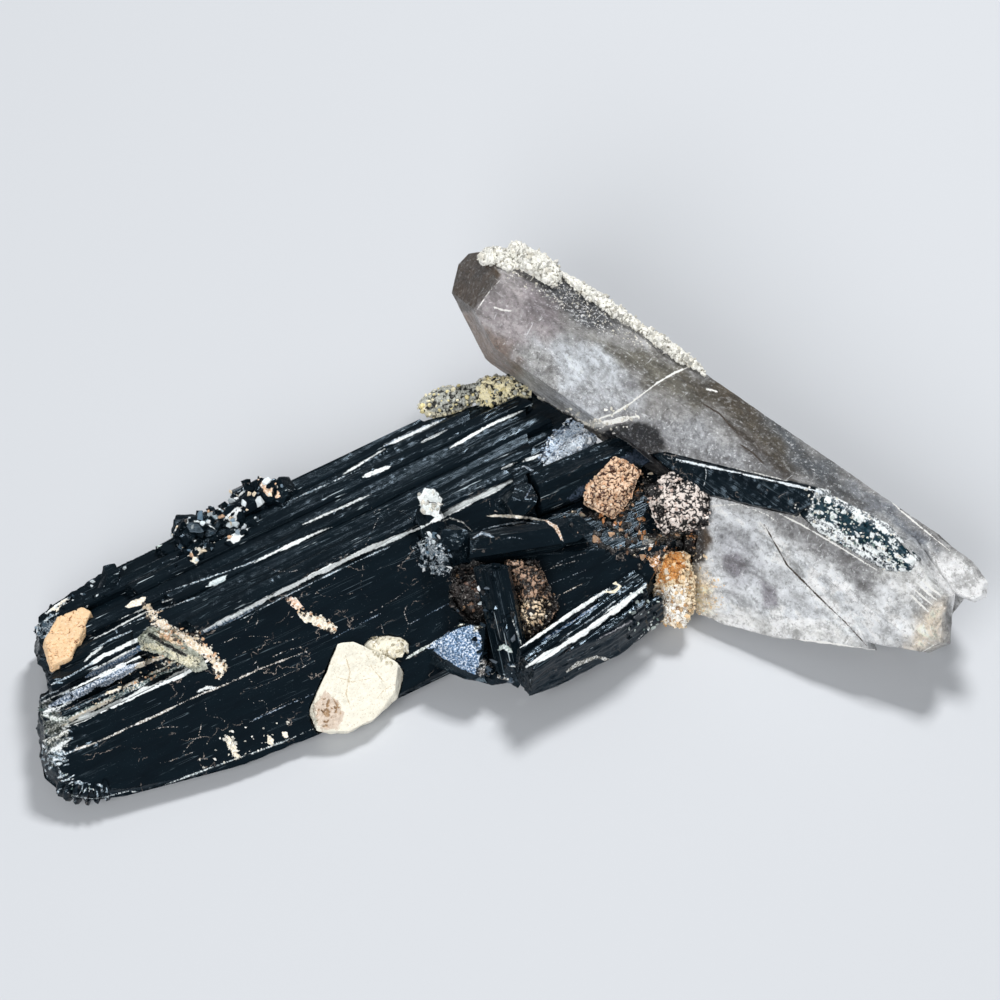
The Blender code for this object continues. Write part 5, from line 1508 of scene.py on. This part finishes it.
def make_finishes(colours):
    LOOK.black = tuple(colours.aegirine_black)
    LOOK.green = tuple(colours.aegirine_green)
    LOOK.clear = tuple(colours.quartz_clear)
    LOOK.smoke = tuple(colours.quartz_smoke)
    LOOK.smoke_density = colours.smoke_density
    LOOK.shade = srgb(46, 42, 40)
    LOOK.frost = srgb(244, 247, 250)
    LOOK.aegirine = aegirine_finish("aegirine_black_glossy", LOOK)
    LOOK.quartz = quartz_finish("smoky_quartz_part_milky", LOOK)
    LOOK.tan = crust_finish("feldspar_tan", srgb(250, 216, 184), srgb(84, 50, 36), 0.8)
    LOOK.pinkish = crust_finish("feldspar_pinkish", srgb(246, 234, 226), srgb(26, 24, 26), 0.8)
    LOOK.brown = crust_finish("rubble_brown", srgb(52, 44, 42), srgb(8, 9, 12))
    LOOK.ochre = crust_finish("rubble_ochre", srgb(204, 168, 142), srgb(24, 19, 19))
    LOOK.rusty = crust_finish("crust_rusty", srgb(246, 228, 196), srgb(150, 112, 70), 0.86)
    LOOK.white = crust_finish("crust_white", srgb(255, 254, 246), srgb(120, 114, 98), 0.82)
    LOOK.yellow = crust_finish("crust_yellowish", srgb(236, 230, 206), srgb(26, 26, 22), 0.8)
    LOOK.bluish = crust_finish("crust_bluish", srgb(222, 232, 242), srgb(34, 44, 58), 0.7)
    LOOK.cream = crust_finish("crust_cream", srgb(196, 200, 186), srgb(40, 48, 46), 0.62)
    LOOK.tan_smooth = crust_finish("crust_tan", srgb(250, 212, 166), srgb(150, 96, 58), 0.9)
    LOOK.cream_crystal = crust_finish("feldspar_cream", srgb(248, 243, 226), srgb(170, 140, 108), 0.88, 0.5, 0.2)


# Settings, steps and panel

class SpecimenColours(bpy.types.PropertyGroup):
    aegirine_black: FloatVectorProperty(
        name="Aegirine black", description="Darkest colour of the aegirine", subtype="COLOR",
        default=(0.0018, 0.0032, 0.005))
    aegirine_green: FloatVectorProperty(
        name="Aegirine green", description="Lightest colour of the aegirine", subtype="COLOR",
        default=(0.005, 0.011, 0.016))
    quartz_clear: FloatVectorProperty(
        name="Clear quartz", description="Tint of the clear quartz", subtype="COLOR", default=(0.95, 0.94, 0.92))
    quartz_smoke: FloatVectorProperty(
        name="Smoke", description="Colour that thick quartz lets through", subtype="COLOR",
        default=(0.72, 0.62, 0.5))
    smoke_density: FloatProperty(
        name="Smokiness", description="How strongly thick quartz darkens, per metre", default=90.0, min=0.0)


class StudioSettings(bpy.types.PropertyGroup):
    floor_side: FloatProperty(name="Floor side", description="Width of the floor", default=8.0, unit="LENGTH")
    floor_colour: FloatVectorProperty(
        name="Floor colour", description="Colour of the plain floor", subtype="COLOR", default=(0.62, 0.64, 0.67))
    key_power: FloatProperty(name="Key light", description="Power of the main light", default=3.6, unit="POWER")
    fill_power: FloatProperty(
        name="Fill light", description="Power of the soft light in front", default=4.5, unit="POWER")
    sky: FloatProperty(name="Room light", description="Strength of the even light all round", default=0.17)


class SPECIMEN_OT_finishes(bpy.types.Operator):
    """Make the materials that the pieces share"""

    bl_idname = "specimen.finishes"
    bl_label = "Finishes"

    def execute(self, context):
        make_finishes(context.scene.specimen_colours)
        return {"FINISHED"}


class SPECIMEN_OT_quartz(bpy.types.Operator):
    """Build the smoky quartz point with its lobes"""

    bl_idname = "specimen.quartz"
    bl_label = "Smoky quartz"

    def execute(self, context):
        build_quartz(LOOK)
        return {"FINISHED"}


class SPECIMEN_OT_blade(bpy.types.Operator):
    """Build the big striated aegirine blade"""

    bl_idname = "specimen.blade"
    bl_label = "Aegirine blade"

    def execute(self, context):
        build_blade(LOOK)
        return {"FINISHED"}


class SPECIMEN_OT_small_crystals(bpy.types.Operator):
    """Build the front, back and let-in aegirine crystals"""

    bl_idname = "specimen.small_crystals"
    bl_label = "Smaller aegirine crystals"

    def execute(self, context):
        build_smaller_crystals(LOOK)
        return {"FINISHED"}


class SPECIMEN_OT_feldspar(bpy.types.Operator):
    """Build the cream feldspar"""

    bl_idname = "specimen.feldspar"
    bl_label = "Cream feldspar"

    def execute(self, context):
        build_feldspar(LOOK)
        return {"FINISHED"}


class SPECIMEN_OT_crusts(bpy.types.Operator):
    """Build the grainy crusts and patches"""

    bl_idname = "specimen.crusts"
    bl_label = "Crusts"

    def execute(self, context):
        build_crusts(LOOK)
        return {"FINISHED"}


class SPECIMEN_OT_chips(bpy.types.Operator):
    """Scatter the chips, grains and splinters over the pieces"""

    bl_idname = "specimen.chips"
    bl_label = "Chips and grains"

    def execute(self, context):
        build_chips(LOOK)
        return {"FINISHED"}


class SPECIMEN_OT_stage(bpy.types.Operator):
    """Set up the floor, the lights and the camera"""

    bl_idname = "specimen.stage"
    bl_label = "Studio"

    def execute(self, context):
        build_stage(context.scene, context.scene.specimen_studio)
        return {"FINISHED"}


def floor_finish(studio):
    made, recipe = blank_material("floor_pale")
    where = recipe.add("ShaderNodeTexCoord", None, out="Object")
    mottle = recipe.noise(where, 3.0, 3.0)
    colour = tuple(studio.floor_colour)
    body = recipe.mix(mottle, tuple(0.97 * c for c in colour), colour)
    shader = recipe.add("ShaderNodeBsdfPrincipled", None, Base_Color=body, Roughness=0.8)
    close_material(recipe, shader)
    return made


def area_light(scene, name, place, aim, size, power, colour=(1.0, 1.0, 1.0)):
    data = bpy.data.lights.new(name, "AREA")
    data.shape = "RECTANGLE"
    data.size, data.size_y = size
    data.energy = power
    data.color = colour
    obj = bpy.data.objects.new(name, data)
    obj.location = place
    obj.rotation_euler = (Vector(aim) - Vector(place)).to_track_quat("-Z", "Y").to_euler()
    scene.collection.objects.link(obj)


def build_stage(scene, studio):
    half = studio.floor_side / 2
    mesh = bpy.data.meshes.new("floor")
    corners = [(-half, -half, 0.0), (half, -half, 0.0), (half, half, 0.0), (-half, half, 0.0)]
    mesh.from_pydata(corners, [], [(0, 1, 2, 3)])
    mesh.materials.append(floor_finish(studio))
    floor = bpy.data.objects.new("floor", mesh)
    scene.collection.objects.link(floor)

    area_light(scene, "key", (0.15, 0.3, 0.6), (0.0, 0.0, 0.01), (0.16, 0.14), studio.key_power)
    area_light(scene, "fill", (-0.2, -0.6, 0.45), (0.0, 0.0, 0.01), (0.45, 0.4), studio.fill_power)

    world = bpy.data.worlds.new("room")
    world.use_nodes = True
    world.node_tree.nodes["Background"].inputs["Color"].default_value = (0.9, 0.95, 1.0, 1.0)
    world.node_tree.nodes["Background"].inputs["Strength"].default_value = studio.sky
    scene.world = world
    scene.view_settings.view_transform = "Standard"

    camera = bpy.data.objects.new("camera", bpy.data.cameras.new("camera"))
    camera.data.lens = LENS
    camera.data.sensor_width = SENSOR
    camera.data.clip_start = 0.01
    camera.location = Vector((AIM + BACK * REACH) * MM)
    camera.rotation_euler = Vector(-BACK).to_track_quat("-Z", "Y").to_euler()
    scene.collection.objects.link(camera)
    scene.camera = camera


class SPECIMEN_PT_panel(bpy.types.Panel):
    """Lists the steps that build the specimen"""

    bl_label = "Specimen"
    bl_idname = "SPECIMEN_PT_panel"
    bl_space_type = "VIEW_3D"
    bl_region_type = "UI"
    bl_category = "Specimen"

    def draw(self, context):
        for group in (context.scene.specimen_colours, context.scene.specimen_studio):
            for key in group.__annotations__:
                self.layout.prop(group, key)
        for step in STEPS:
            self.layout.operator(step.bl_idname)


STEPS = (
    SPECIMEN_OT_finishes,
    SPECIMEN_OT_quartz,
    SPECIMEN_OT_blade,
    SPECIMEN_OT_small_crystals,
    SPECIMEN_OT_feldspar,
    SPECIMEN_OT_crusts,
    SPECIMEN_OT_chips,
    SPECIMEN_OT_stage,
)

CLASSES = (SpecimenColours, StudioSettings, *STEPS, SPECIMEN_PT_panel)


def register():
    for each in CLASSES:
        bpy.utils.register_class(each)
    bpy.types.Scene.specimen_colours = PointerProperty(type=SpecimenColours)
    bpy.types.Scene.specimen_studio = PointerProperty(type=StudioSettings)


def unregister():
    del bpy.types.Scene.specimen_studio
    del bpy.types.Scene.specimen_colours
    for each in reversed(CLASSES):
        bpy.utils.unregister_class(each)


def main():
    register()
    bpy.ops.specimen.finishes()
    bpy.ops.specimen.quartz()
    bpy.ops.specimen.blade()
    bpy.ops.specimen.small_crystals()
    bpy.ops.specimen.feldspar()
    bpy.ops.specimen.crusts()
    bpy.ops.specimen.chips()
    bpy.ops.specimen.stage()


if __name__ == "__main__":
    main()
